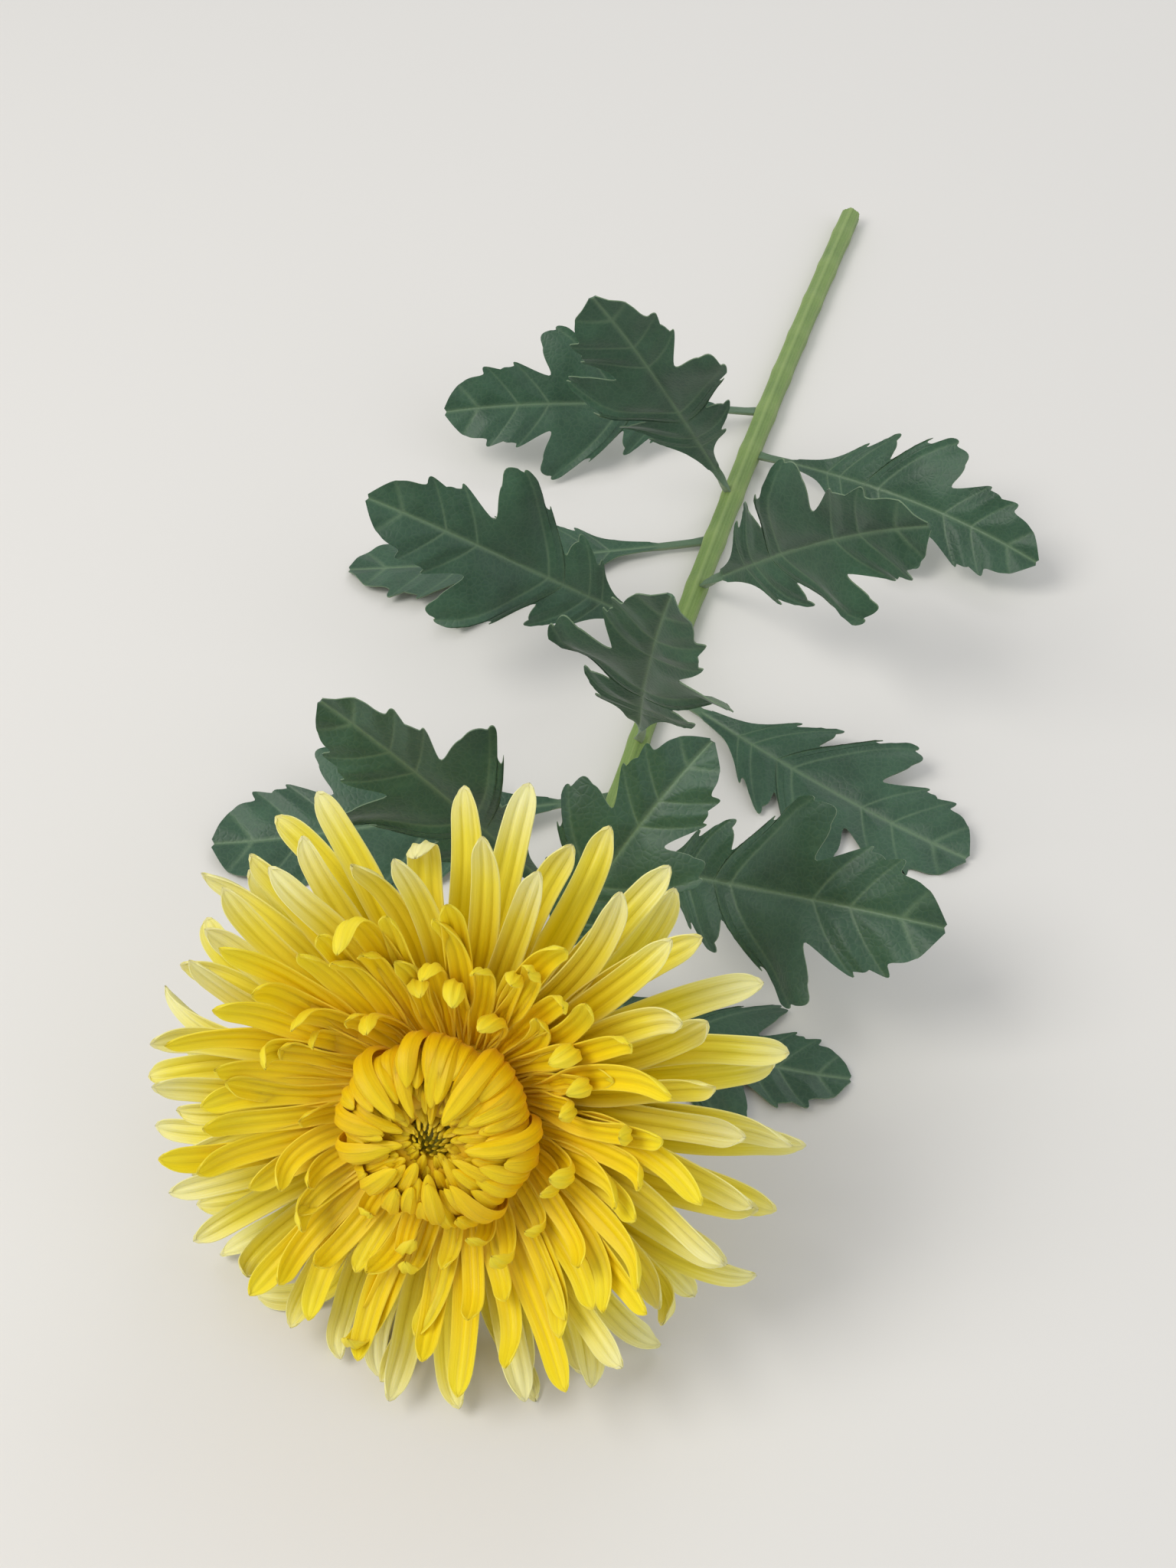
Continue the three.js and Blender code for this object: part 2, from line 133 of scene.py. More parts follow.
class Skins:
    """Collects closed skins, in millimetres, and makes them into one piece."""

    def __init__(self):
        self.points, self.faces, self.materials, self.kept, self.count = [], [], [], {}, 0

    def add(self, rings, side_materials=None, end_material=0, **kept):
        """Adds a skin. Each kept number is one for all of it, or an array that fits its rings."""
        rows, sides = rings.shape[:2]
        of_side = np.zeros(sides, int) if side_materials is None else np.asarray(side_materials)
        row, side = np.meshgrid(np.arange(rows - 1), np.arange(sides), indexing="ij")
        start = self.count + row * sides
        after = (side + 1) % sides
        quads = np.stack([start + side, start + after, start + sides + after, start + sides + side], -1)
        first = range(self.count, self.count + sides)
        last = range(self.count + (rows - 1) * sides, self.count + rows * sides)
        self.faces += quads.reshape(-1, 4).tolist() + [list(first)[::-1], list(last)]
        self.materials += np.tile(of_side, rows - 1).tolist() + [int(of_side[0]), end_material]
        self.points.append(rings.reshape(-1, 3))
        for label, values in kept.items():
            of_points = np.broadcast_to(values, (rows, sides)).astype(np.float32)
            self.kept.setdefault(label, []).append(of_points.ravel())
        self.count += rows * sides

    def piece(self, name, node, slot, materials):
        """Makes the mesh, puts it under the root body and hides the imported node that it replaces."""
        mesh = bpy.data.meshes.new(name)
        mesh.from_pydata((np.concatenate(self.points) * MM).tolist(), [], self.faces)
        for label, values in self.kept.items():
            mesh.attributes.new(label, "FLOAT", "POINT").data.foreach_set("value", np.concatenate(values))
        for material in materials:
            mesh.materials.append(material)
        mesh.polygons.foreach_set("material_index", self.materials)
        mesh.polygons.foreach_set("use_smooth", [True] * len(mesh.polygons))
        mesh.set_sharp_from_angle(angle=np.radians(CREASE))
        mesh.update()
        piece = bpy.data.objects.new(name, mesh)
        bpy.context.collection.objects.link(piece)
        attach(piece, "root")
        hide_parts(node)
        print(name, "has", len(mesh.polygons), "faces")
        return piece


# %% [markdown]
# The bloom is made standing upright on its own axis. Then it is turned down until it faces 30 degrees
# above level, and its middle is held up by the rays under it. A cut flower of this size lies like that.

# %% The bloom's own frame
BLOOM_HEIGHT = 47
BLOOM_TILT = 30

lean = np.radians(90 - BLOOM_TILT)
BLOOM_TURN = np.array([[1, 0, 0], [0, np.cos(lean), -np.sin(lean)], [0, np.sin(lean), np.cos(lean)]])
UP_IN_BLOOM = BLOOM_TURN.T @ UP


def out_and_sideways(turn):
    """The directions away from the bloom's axis and round it, at a turn about it."""
    return np.array([[np.cos(turn), np.sin(turn), 0], [-np.sin(turn), np.cos(turn), 0]])


def from_bloom(points):
    return points @ BLOOM_TURN.T + UP * BLOOM_HEIGHT


def height_in_bloom(point):
    return (BLOOM_TURN @ point)[2] + BLOOM_HEIGHT


print("the bloom's axis points to", (BLOOM_TURN @ UP).round(2))


# %% [markdown]
# The stem leaves the bloom along its axis, falls in a slow bend and then lies on the table. Two Bezier
# curves draw it, the second a little bowed, because no cut stem is straight.

# %% The stem's line
CUP_FOOT = -9
STEM_GAP = 0.3
NECK_LENGTH = 50
STEM_END = 470
STEM_DOWN_AT = 165
STEM_BOW = 7
STEM_FLAT = 0.2
FALL_HANDLE = 75
NECK_RADIUS = 2.5
CUT_RADIUS = 3.7
THICKENING = 1.6
LYING_FROM = 60
LYING_OVER = 90
LINE_STEPS = 600


def bezier(corners, t):
    t = np.asarray(t, float)[:, None]
    a, b, c, d = [np.asarray(corner, float) for corner in corners]
    return (1 - t) ** 3 * a + 3 * t * (1 - t) ** 2 * b + 3 * t * t * (1 - t) * c + t**3 * d


class Line:
    """A line through close points, read by the share of its length."""

    def __init__(self, points):
        self.points = points
        steps = np.linalg.norm(np.diff(points, axis=0), axis=1)
        self.reached = np.concatenate([[0], np.cumsum(steps)])
        self.length = self.reached[-1]

    def point(self, share):
        where = np.clip(share, 0, 1) * self.length
        return np.stack([np.interp(where, self.reached, self.points[:, k]) for k in range(3)], -1)

    def direction(self, share, step=0.004):
        return unit(self.point(np.minimum(share + step, 1)) - self.point(np.maximum(share - step, 0)))


neck = from_bloom(UP * (CUP_FOOT - STEM_GAP))
down = np.array([0, STEM_DOWN_AT, CUT_RADIUS])
fall = [neck, neck - BLOOM_TURN @ UP * NECK_LENGTH, down - [0, FALL_HANDLE, 0], down]
lie = [
    down,
    [0, mix(STEM_DOWN_AT, STEM_END, 0.35), CUT_RADIUS],
    [STEM_BOW * 0.4, mix(STEM_DOWN_AT, STEM_END, 0.7), CUT_RADIUS],
    [STEM_BOW, STEM_END, CUT_RADIUS],
]
shares = np.linspace(0, 1, LINE_STEPS)
stem_line = Line(np.concatenate([bezier(fall, shares), bezier(lie, shares)[1:]]))


def stem_at(distance):
    """The stem's middle, direction and radius at a distance from its neck."""
    share = distance / stem_line.length
    radius = mix(NECK_RADIUS, CUT_RADIUS, ease(share * THICKENING))
    middle = stem_line.point(share)
    sunk = middle[2] - (radius - STEM_FLAT)
    if distance > LYING_FROM:
        middle = middle - UP * sunk * ease((distance - LYING_FROM) / LYING_OVER)
    return middle, stem_line.direction(share), radius


print("stem length in mm:", round(stem_line.length))


# %% [markdown]
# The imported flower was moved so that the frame's origin is under the middle of its box. The solid stem's
# cut end is a ring of twelve points on the same line, so the corner of the stem's box tells how far it
# was moved.

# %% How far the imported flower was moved
STEM_RIB = 0.08
SOLID_STEM_SIDES = 12


def stem_ring(distance, radii, angles):
    """One ring of the stem, with a radius at each angle from its top."""
    middle, along, _ = stem_at(distance)
    side = unit(np.cross(along, UP))
    top = np.cross(side, along)
    return middle + top * (radii * np.cos(angles))[:, None] + side * (radii * np.sin(angles))[:, None]


solid_angles = angles_round(SOLID_STEM_SIDES)
solid_radii = CUT_RADIUS * (1 + STEM_RIB * np.cos(solid_angles * SOLID_STEM_SIDES / 2))
cut_corner = stem_ring(stem_line.length, solid_radii, solid_angles).max(axis=0)
packed_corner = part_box("stem")[1]
SHIFT = np.array([packed_corner.x / MM - cut_corner[0], packed_corner.y / MM - cut_corner[1], 0])
print("the flower was moved by, in mm:", SHIFT.round(2))


# %% [markdown]
# Colours are written as sRGB hex values, and Blender's shaders want linear light, so one function turns
# them. One more adds a node, sets its values and joins it to the nodes before it.

# %% Colours and nodes
def linear(hex_colour):
    shares = [int(hex_colour[k : k + 2], 16) / 255 for k in (1, 3, 5)]
    return [c / 12.92 if c <= 0.04045 else ((c + 0.055) / 1.055) ** 2.4 for c in shares] + [1.0]


def add_node(material, kind, values):
    """Adds a node. Each value sets a property, or an input by its name or number, or joins a node to it."""
    node = material.node_tree.nodes.new(kind)
    for key, value in values.items():
        if isinstance(key, str) and key not in node.inputs:
            setattr(node, key, value)
        elif isinstance(value, bpy.types.NodeSocket):
            material.node_tree.links.new(value, node.inputs[key])
        elif isinstance(value, bpy.types.Node):
            material.node_tree.links.new(value.outputs[0], node.inputs[key])
        else:
            node.inputs[key].default_value = value
    return node


def set_stops(ramp, stops):
    """Gives a colour ramp its stops, each a place between 0 and 1 and a hex colour."""
    elements = ramp.color_ramp.elements
    while len(elements) < len(stops):
        elements.new(0.5)
    for element, (place, colour) in zip(elements, stops):
        element.position = place
        element.color = linear(colour)


def new_material(name, *labels):
    """An empty material, and the sockets that give the numbers that the mesh keeps under the labels."""
    material = bpy.data.materials.new(name)
    material.use_nodes = True
    material.node_tree.nodes.clear()
    kept = {}
    for label in labels:
        kept[label] = add_node(material, "ShaderNodeAttribute", {"attribute_name": label}).outputs["Fac"]
    return material, kept


print("a petal yellow in linear light:", np.round(linear("#f2d200"), 3))


# %% [markdown]
# A petal is a thin sheet of wet cells between two waxy skins, dyed with yellow carotene. Light goes in,
# is scattered and comes out again nearby, which is what subsurface scattering is for, and the skin adds a
# satin gloss. Along the petal the colour goes from deep gold at its foot to pale lemon at its tip. Fine
# veins half a millimetre apart run along it: a noise that is stretched along the petal draws them, moves
# the colours a little and gives the bump. The two grooves are painted a touch darker, as painted shade
# in their hollows, and the rim, which is thinner, is paler.

# %% The petals' material
VEIN_SPACING = 0.5
VEIN_LENGTH = 36
PETALS_APART = 50.0
RAY_WIDTH = 8.4
RAY_LENGTH = 80
VEIN_SHIFT = 0.22
TONE_SHIFT = 0.2
GROOVE_AT = 0.36
YOUNG_GREEN = "#4f5f10"


def veins_along(material, kept):
    """A noise in streaks along the petal, at the real spacing, different on each petal."""
    sizes = {"across": RAY_WIDTH / 2 / VEIN_SPACING, "along": RAY_LENGTH / VEIN_LENGTH, "tone": PETALS_APART}
    scaled = []
    for label, scale in sizes.items():
        times = {"operation": "MULTIPLY", 0: kept[label], 1: scale}
        scaled.append(add_node(material, "ShaderNodeMath", times))
    place = add_node(material, "ShaderNodeCombineXYZ", dict(zip("XYZ", scaled)))
    settings = {"Vector": place, "Scale": 1.0, "Detail": 3.0, "Roughness": 0.55}
    return add_node(material, "ShaderNodeTexNoise", settings)


def along_the_petal(material, kept, veins, stops):
    """The colour from foot to tip. Veins and the petal's own tone move its stops."""
    vein_shift = {"operation": "MULTIPLY_ADD", 0: veins, 1: VEIN_SHIFT, 2: kept["along"]}
    by_vein = add_node(material, "ShaderNodeMath", vein_shift)
    tone_shift = {"operation": "MULTIPLY_ADD", 0: kept["tone"], 1: TONE_SHIFT, 2: by_vein}
    by_petal = add_node(material, "ShaderNodeMath", tone_shift)
    mean_shift = (VEIN_SHIFT + TONE_SHIFT) / 2
    centred = add_node(material, "ShaderNodeMath", {"operation": "SUBTRACT", 0: by_petal, 1: mean_shift})
    ramp = add_node(material, "ShaderNodeValToRGB", {"Fac": centred})
    set_stops(ramp, stops)
    return ramp


# %% The petals' rim, underside and young green
RIM_SHARPNESS = 6.0
GREEN_REACH = 1.05


def rim_and_sides(material, kept, to_edge, colour, rim, under):
    """Blends in the paler rim, the paler underside, and the green at the foot of the youngest florets."""
    near_rim = add_node(material, "ShaderNodeMath", {"operation": "POWER", 0: to_edge, 1: RIM_SHARPNESS})
    rim_share = add_node(material, "ShaderNodeMath", {"operation": "MULTIPLY", 0: near_rim, 1: rim[1]})
    on_underside = {"operation": "MULTIPLY", 0: kept["under"], 1: under[1]}
    under_share = add_node(material, "ShaderNodeMath", on_underside)
    near_foot = {"operation": "SUBTRACT", 0: GREEN_REACH, 1: kept["along"]}
    to_foot = add_node(material, "ShaderNodeMath", near_foot)
    at_young_foot = {"operation": "MULTIPLY", 0: kept["green"], 1: to_foot}
    green_share = add_node(material, "ShaderNodeMath", at_young_foot)
    for share, wanted in ((rim_share, rim[0]), (under_share, under[0]), (green_share, YOUNG_GREEN)):
        blend = {"data_type": "RGBA", 0: share, 6: colour, 7: linear(wanted)}
        colour = add_node(material, "ShaderNodeMix", blend).outputs[2]
    return colour


# %% The petals' grooves and shader
# GROOVE_SHADE is painted shade: how much the colour is darkened along the two grooves' hollows.
GROOVE_SHADE_WIDTH = 0.2
GROOVE_SHADE = 0.11
VEIN_SHADE = 0.3
LEAST_SHADE = 0.84
VEIN_ROUGHNESS = 0.2
LEAST_ROUGHNESS = 0.4


def petal_material(name, stops, rim, under):
    material, kept = new_material(name, "along", "across", "tone", "under", "green")
    veins = veins_along(material, kept)
    ramp = along_the_petal(material, kept, veins, stops)
    to_edge = add_node(material, "ShaderNodeMath", {"operation": "ABSOLUTE", 0: kept["across"]})
    colour = rim_and_sides(material, kept, to_edge, ramp.outputs[0], rim, under)
    # Painted shade: the colour is darkened along the two grooves' hollows, on top of the vein streaks.
    to_groove = add_node(material, "ShaderNodeMath", {"operation": "SUBTRACT", 0: to_edge, 1: GROOVE_AT})
    off_groove = add_node(material, "ShaderNodeMath", {"operation": "ABSOLUTE", 0: to_groove})
    groove = {"interpolation_type": "SMOOTHSTEP", "Value": off_groove, "From Max": GROOVE_SHADE_WIDTH}
    painted_groove_shade = add_node(material, "ShaderNodeMapRange", groove | {"To Min": GROOVE_SHADE, "To Max": 0.0})
    vein_light = {"operation": "MULTIPLY_ADD", 0: veins, 1: VEIN_SHADE, 2: LEAST_SHADE}
    light = add_node(material, "ShaderNodeMath", vein_light)
    shade = add_node(material, "ShaderNodeMath", {"operation": "SUBTRACT", 0: light, 1: painted_groove_shade})
    grey = add_node(material, "ShaderNodeCombineColor", {"Red": shade, "Green": shade, "Blue": shade})
    shading = {"data_type": "RGBA", "blend_type": "MULTIPLY", 0: 1.0, 6: colour, 7: grey}
    shaded = add_node(material, "ShaderNodeMix", shading).outputs[2]
    bump = add_node(material, "ShaderNodeBump", {"Strength": 0.35, "Distance": 0.4 * MM, "Height": veins})
    gloss = {"operation": "MULTIPLY_ADD", 0: veins, 1: VEIN_ROUGHNESS, 2: LEAST_ROUGHNESS}
    satin = add_node(material, "ShaderNodeMath", gloss)
    tissue = {
        "Base Color": shaded,
        "Roughness": satin,
        "Normal": bump,
        "IOR": 1.38,
        "Subsurface Weight": 0.3,
        "Subsurface Radius": (1.0, 0.9, 0.2),
        "Subsurface Scale": 3 * MM,
        "Sheen Weight": 0.04,
        "Sheen Roughness": 0.4,
    }
    shader = add_node(material, "ShaderNodeBsdfPrincipled", tissue)
    add_node(material, "ShaderNodeOutputMaterial", {"Surface": shader})
    return material


# %% The three petal yellows
outer_yellow = petal_material(
    "lemon petal tissue of the outer rays",
    [(0.0, "#e0aa00"), (0.2, "#f2ca00"), (0.5, "#f3d714"), (0.78, "#f3e24c"), (1.0, "#f6f0aa")],
    ("#f8f3ac", 0.33),
    ("#efe68c", 0.45),
)
middle_yellow = petal_material(
    "golden petal tissue of the middle rays",
    [(0.0, "#e4b400"), (0.3, "#f8ce04"), (0.68, "#fad80a"), (1.0, "#f9e530")],
    ("#f9e764", 0.27),
    ("#f3dc3a", 0.3),
)
inner_yellow = petal_material(
    "deep yellow petal tissue of the curled florets",
    [(0.0, "#d09400"), (0.35, "#f2b800"), (0.75, "#fac900"), (1.0, "#fcd80a")],
    ("#fbde44", 0.25),
    ("#f6c90c", 0.2),
)
print("petal materials:", outer_yellow.name, "/", middle_yellow.name, "/", inner_yellow.name)


# %% [markdown]
# Seen from the side, each ray is a curve that changes with its age. The oldest hang outwards, younger
# ones stand up more, and the youngest curl right over and make the dome. Nine curves are drawn, as
# distance from the bloom's axis and height, and all the others are blends of their two neighbours.

# %% The florets' side views
SIDE_VIEWS = [
    (0.0, [[13, 3.4], [38, 11], [66, 6], [86, -6]]),
    (0.28, [[9.5, 5], [30, 14], [61, 23], [77, 38]]),
    (0.3, [[13, 10.2], [32, 18], [54, 27], [69, 40]]),
    (0.5, [[10, 11], [29, 17], [49, 25], [56, 41]]),
    (0.56, [[9, 11.3], [27, 15.5], [43, 22.5], [44, 37]]),
    (0.638, [[8, 11.7], [27, 13.5], [37, 25], [27, 36.5]]),
    (0.64, [[12, 15.5], [28, 16], [30.5, 35.5], [9, 38]]),
    (0.86, [[9, 20], [21, 20], [22.5, 35], [4.8, 34.6]]),
    (1.0, [[7.5, 24], [10, 25], [10.5, 32], [2.6, 31.6]]),
]


def side_view_at(age):
    after = max(1, next(k for k, view in enumerate(SIDE_VIEWS) if view[0] >= age))
    (older_age, older), (younger_age, younger) = SIDE_VIEWS[after - 1 : after + 1]
    return mix(np.array(older), np.array(younger), (age - older_age) / (younger_age - older_age))


def bent_side_view(age, stations, reach, hook, hook_from, wave):
    """The side view's points, with the tip hooked by an angle and a slow wave all along."""
    points = bezier(side_view_at(age), stations * reach)
    steps = np.diff(points, axis=0)
    between = (stations[1:] + stations[:-1]) / 2
    angles = np.unwrap(np.arctan2(steps[:, 1], steps[:, 0]))
    angles += hook * ease((between - hook_from) / (1 - hook_from))
    size, count, start = wave
    angles += size * np.sin(2 * np.pi * (between * count + start)) * ease(between / 0.3)
    bent = np.hypot(steps[:, 0], steps[:, 1])[:, None] * np.stack([np.cos(angles), np.sin(angles)], -1)
    return np.concatenate([points[:1], points[0] + np.cumsum(bent, axis=0)])


# %% [markdown]
# The bloom's weight presses its lowest rays against the table, and the leaves under the stem lie on it
# too. A simulation isn't needed: each blade's line is walked step by step, and a step that would go down
# too near the table is turned level instead, without changing its length. The blade's face turns up as it
# comes to lie.

# %% Laying a blade on the table
def lay_on_table(points, up, height_of, rest, settling):
    laid = [points[0]]
    for step in np.diff(points, axis=0):
        start = laid[-1]
        climb = np.dot(step, up)
        allowed = climb * ease((height_of(start) - rest) / settling) if climb < 0 else climb
        level = unit(step - up * climb) * np.sqrt(max(0, np.dot(step, step) - allowed**2))
        after = start + level + up * allowed
        under = rest - height_of(after)
        laid.append(after + up * under if under > 0 and climb < 0 else after)
    return np.array(laid)


def turn_across(across, forward, up, share, angle):
    """The direction across a blade, turned about its line by a share of the way to level, and an angle."""
    across = unit(across - forward * np.dot(across, forward))
    level = unit(np.cross(up, forward))
    to_level = np.arctan2(np.dot(np.cross(across, level), forward), np.dot(across, level))
    return turned_about(across, forward, to_level * share + angle)


# %% [markdown]
# The florets stand in the golden spiral, each 137.5 degrees on from the one before, as in all daisies.
# First comes a floret's middle line with the directions forward, across and out of its face. Its turn,
# length, sway and roll are the same draws as in the solids. Its hooked tip, wave, twist and wandering are
# its own, with seeds so far apart that neighbours come out unlike.

# %% A floret's middle line
OWN_SEED = SHAPE_SEED * 3
OWN_STEP = 205
GOLDEN_ANGLE = 137.508
TURN_SPREAD = 5
SWAY_SPREAD = 5
SHORTENING = 0.13
RAY_REST = 0.3
RAY_REST_RISE = 28
RAYS_RISE_FROM = 0.1
RAY_SETTLING = 4.5
RAY_LEVELLING = 14
CURL_OVER = (1.5, 2.3)
CURL_OVER_FROM = 0.68


def floret_line(index, age, youth, kind, stations):
    draw = draws_from(SHAPE_SEED + index * FLORET_STEP)
    own = draws_from(OWN_SEED + index * OWN_STEP)
    turn = np.radians(index * GOLDEN_ANGLE + spread(draw, TURN_SPREAD))
    reach = (1 - SHORTENING * draw()) * (1 - kind["uneven"] * own() ** 2)
    sway = np.radians(spread(draw, SWAY_SPREAD))
    roll = np.radians(spread(draw, kind["roll"]))
    hook, hook_from = mix(*kind["hook"], own()) * mix(*kind["hook_by_youth"], youth), kind["hook_from"]
    if own() < kind["curled_over"]:
        hook, hook_from = mix(*CURL_OVER, own()), CURL_OVER_FROM
    wave = (spread(own, kind["wave"]), 0.8 + own(), own())
    twist = np.radians(spread(own, kind["twist"]))
    wander = np.radians(spread(own, kind["wander"])) * np.sin(np.pi * stations) * ease(stations / 0.5)
    seen_age = np.clip(age + spread(draw, kind["mixed"]), *kind["ages"])
    side = bent_side_view(seen_age, stations, reach, hook, hook_from, wave)
    at = turn + sway * stations**2 + wander
    wanted = np.stack([side[:, 0] * np.cos(at), side[:, 0] * np.sin(at), side[:, 1]], -1)
    rest = RAY_REST + RAY_REST_RISE * max(0, age - RAYS_RISE_FROM)
    middle = lay_on_table(wanted, UP_IN_BLOOM, height_in_bloom, rest, RAY_SETTLING)
    forward = unit(np.gradient(middle, axis=0))
    across = np.zeros_like(forward)
    _, sideways = out_and_sideways(turn)
    for k, share in enumerate(stations):
        lying = 1 - ease((height_in_bloom(middle[k]) - rest) / RAY_LEVELLING)
        across[k] = turn_across(sideways, forward[k], UP_IN_BLOOM, lying, roll * share + twist * share**2)
    return middle, forward, across, np.cross(forward, across), own


# %% [markdown]
# Round that line the petal is a sheet bent like a gutter. At its foot it is almost a tube, and it opens
# into a strap with two grooves and a ridge between them. It ends blunt, with three low teeth: a ray
# floret is five petals grown together, and the teeth are what is left of them. The sheet is thicker along
# its middle.

# %% A floret's sheet
FOOT_WIDTH = 0.42
FULL_WIDTH_AT = 0.5
NARROWS_FROM = 0.55
TIP_NARROWING = 0.14
LEAST_WIDTH = 0.07
CURL_SPREAD = 0.15
OPEN_FROM = 0.45
TIP_FROM = 0.8
TEETH_FROM = 0.9
GROOVE_WIDTH = 0.12
RIDGE_WIDTH = 0.16
RIDGE_SHARE = 0.6
RIM_RIPPLE = 0.5
TABLE_CLEARANCE = 0.04


def strap_width(stations, kind):
    """The share of its full width that a floret has along its length."""
    swell = mix(FOOT_WIDTH, 1, ease(stations / FULL_WIDTH_AT))
    swell = swell * (1 - TIP_NARROWING * ease((stations - NARROWS_FROM) / (1 - NARROWS_FROM)))
    past = np.clip((stations - kind["shoulder"]) / (1 - kind["shoulder"]), 0, 1)
    return swell * np.maximum(LEAST_WIDTH, (1 - past ** kind["bluntness"]) ** 0.5)


def floret_sheet(stations, u, half, kind, own):
    """Where the sheet's points are across, out of the face and forward, and how far it is bent there."""
    curl = mix(*kind["curl"], ease(stations / OPEN_FROM)) * (1 + spread(own, CURL_SPREAD))
    curl = (curl + kind["tip_curl"] * ease((stations - TIP_FROM) / (1 - TIP_FROM)))[:, None]
    bend = curl * u
    sideways = half[:, None] * np.sin(bend) / curl
    lift = half[:, None] * (1 - np.cos(bend)) / curl
    at_teeth = ease((stations - TEETH_FROM) / (1 - TEETH_FROM))
    opened = ease((stations - 0.12) / 0.2) * (1 - at_teeth)
    groove = bell((np.abs(u) - GROOVE_AT) / GROOVE_WIDTH)
    groove = groove - RIDGE_SHARE * bell(u / RIDGE_WIDTH)
    ripple = spread(own, RIM_RIPPLE) * np.sin(2 * np.pi * (stations * (1.5 + own()) + own()))
    lift = lift - kind["groove"] * opened[:, None] * groove
    lift = lift + (ripple * ease(stations / 0.4))[:, None] * u**3
    teeth = kind["teeth"] * np.cos(3 * np.pi * u) * at_teeth[:, None]
    return sideways, lift, teeth, bend


# %% Adding one floret
WIDTH_SPREAD = 0.08
EDGE_THINNING = 0.45
FOOT_AND_TIP_THICKNESS = (1.3, 0.8)


def add_floret(skins, index, age, kind):
    even = np.linspace(0, 1, kind["rows"])
    stations = mix(even, np.sin(even * np.pi / 2), 0.6)
    youth = (age - kind["ages"][0]) / (kind["ages"][1] - kind["ages"][0])
    middle, forward, across, face, own = floret_line(index, age, youth, kind, stations)
    width = RAY_WIDTH * mix(*kind["width"], youth) * (1 + spread(own, WIDTH_SPREAD))
    half = width / 2 * strap_width(stations, kind)
    u = np.linspace(-1, 1, kind["columns"])
    sideways, lift, teeth, bend = floret_sheet(stations, u, half, kind, own)
    frames = [directions[:, None] for directions in (across, face, forward)]
    sheet = middle[:, None] + sum(d * size[..., None] for d, size in zip(frames, (sideways, lift, teeth)))
    normal = unit(frames[1] * np.cos(bend)[..., None] - frames[0] * np.sin(bend)[..., None])
    thick = kind["thickness"] / 2 * (1 - EDGE_THINNING * u**2)
    thick = thick * mix(*FOOT_AND_TIP_THICKNESS, stations)[:, None]
    thick = np.minimum(thick, 0.3 * half[:, None] + 0.05)[..., None]
    rings = from_bloom(sheet_rings(sheet + normal * thick, sheet - normal * thick))
    rings[..., 2] = np.maximum(rings[..., 2], TABLE_CLEARANCE)
    sides = np.arange(2 * len(u))
    skins.add(
        rings + SHIFT,
        along=stations[:, None],
        across=np.concatenate([u[::-1], u]),
        tone=own(),
        under=sides >= len(u),
        green=ease((age - 0.8) / 0.2),
    )


# %% [markdown]
# Inside the petals is the flower's base, a shallow cone in three layers that the florets grow from. Each
# layer is turned about the bloom's axis, like clay on a wheel, and hides in its own petals.

# %% Bodies turned about the bloom's axis
def turned_rings(section, sides, steps=5):
    """Rings of a body turned about the axis, from the corners of its half section."""
    section = np.array(section, float)
    between = np.linspace(0, 1, steps, endpoint=False)[:, None]
    fine = [mix(a, b, between) for a, b in zip(section, section[1:])]
    fine = np.concatenate(fine + [section[-1:]])
    radius = np.maximum(fine[:, :1], 0.02)
    angle = angles_round(sides)
    height = np.repeat(fine[:, 1:], sides, axis=1)
    return np.stack([radius * np.cos(angle), radius * np.sin(angle), height], -1)


# %% [markdown]
# Three kinds of floret make the bloom, and each row here gives one thing for all three, oldest first.
# first and count are their places in the spiral, and ages is how far they are from the oldest, 0, to the
# youngest, 1. A pair is the value for the oldest and for the youngest of the kind, or the value at the
# foot and from halfway for curl, in radians. hook is an angle between its two values, and curled_over is
# the share of petals that roll right over, as a few in each bloom do. uneven is the most that a petal may
# be shortened by, and mixed is how far in age it may be ahead of its neighbours or behind them.

# %% The three kinds of floret
KIND_NODES = ("outer_rays", "middle_rays", "inner_florets")
BY_KIND = {
    "first": (0, 75, 160),
    "count": (75, 85, 128),
    "ages": ((0, 0.297), (0.301, 0.638), (0.642, 1.0)),
    "material": (outer_yellow, middle_yellow, inner_yellow),
    "width": ((1.02, 0.94), (0.9, 0.68), (0.82, 0.36)),
    "uneven": (0.14, 0.32, 0.15),
    "mixed": (0.01, 0.04, 0.06),
    "wander": (5, 6, 3),
    "roll": (10, 12, 8),
    "twist": (28, 25, 10),
    "rows": (34, 28, 26),
    "columns": (17, 15, 11),
    "hook": ((-0.5, 0.6), (0.1, 0.72), (0.1, 0.5)),
    "hook_by_youth": ((1, 1), (0.3, 2.4), (1, 1)),
    "hook_from": (0.76, 0.68, 0.6),
    "curled_over": (0.07, 0.04, 0),
    "wave": (0.1, 0.1, 0.05),
    "shoulder": (0.87, 0.87, 0.82),
    "bluntness": (2.3, 2.3, 2.2),
    "curl": ((1.9, 0.75), (1.8, 0.85), (1.2, 1.0)),
    "tip_curl": (0.25, 0.15, 0.2),
    "groove": (0.5, 0.42, 0.34),
    "teeth": (0.45, 0.3, 0.12),
    "thickness": (0.6, 0.6, 0.5),
    "base": (
        [[0, -1.6], [13.6, 2.6], [14.6, 5], [13, 8], [0, 4.6]],
        [[0, 4.9], [15, 8.9], [18, 12.6], [16, 14.6], [0, 10.4]],
        [[0, 10.7], [16, 15.1], [19, 20], [19, 25.5], [16, 29.4], [9, 31], [5.6, 30.2], [4.9, 26]],
    ),
}
BASE_SIDES = 48


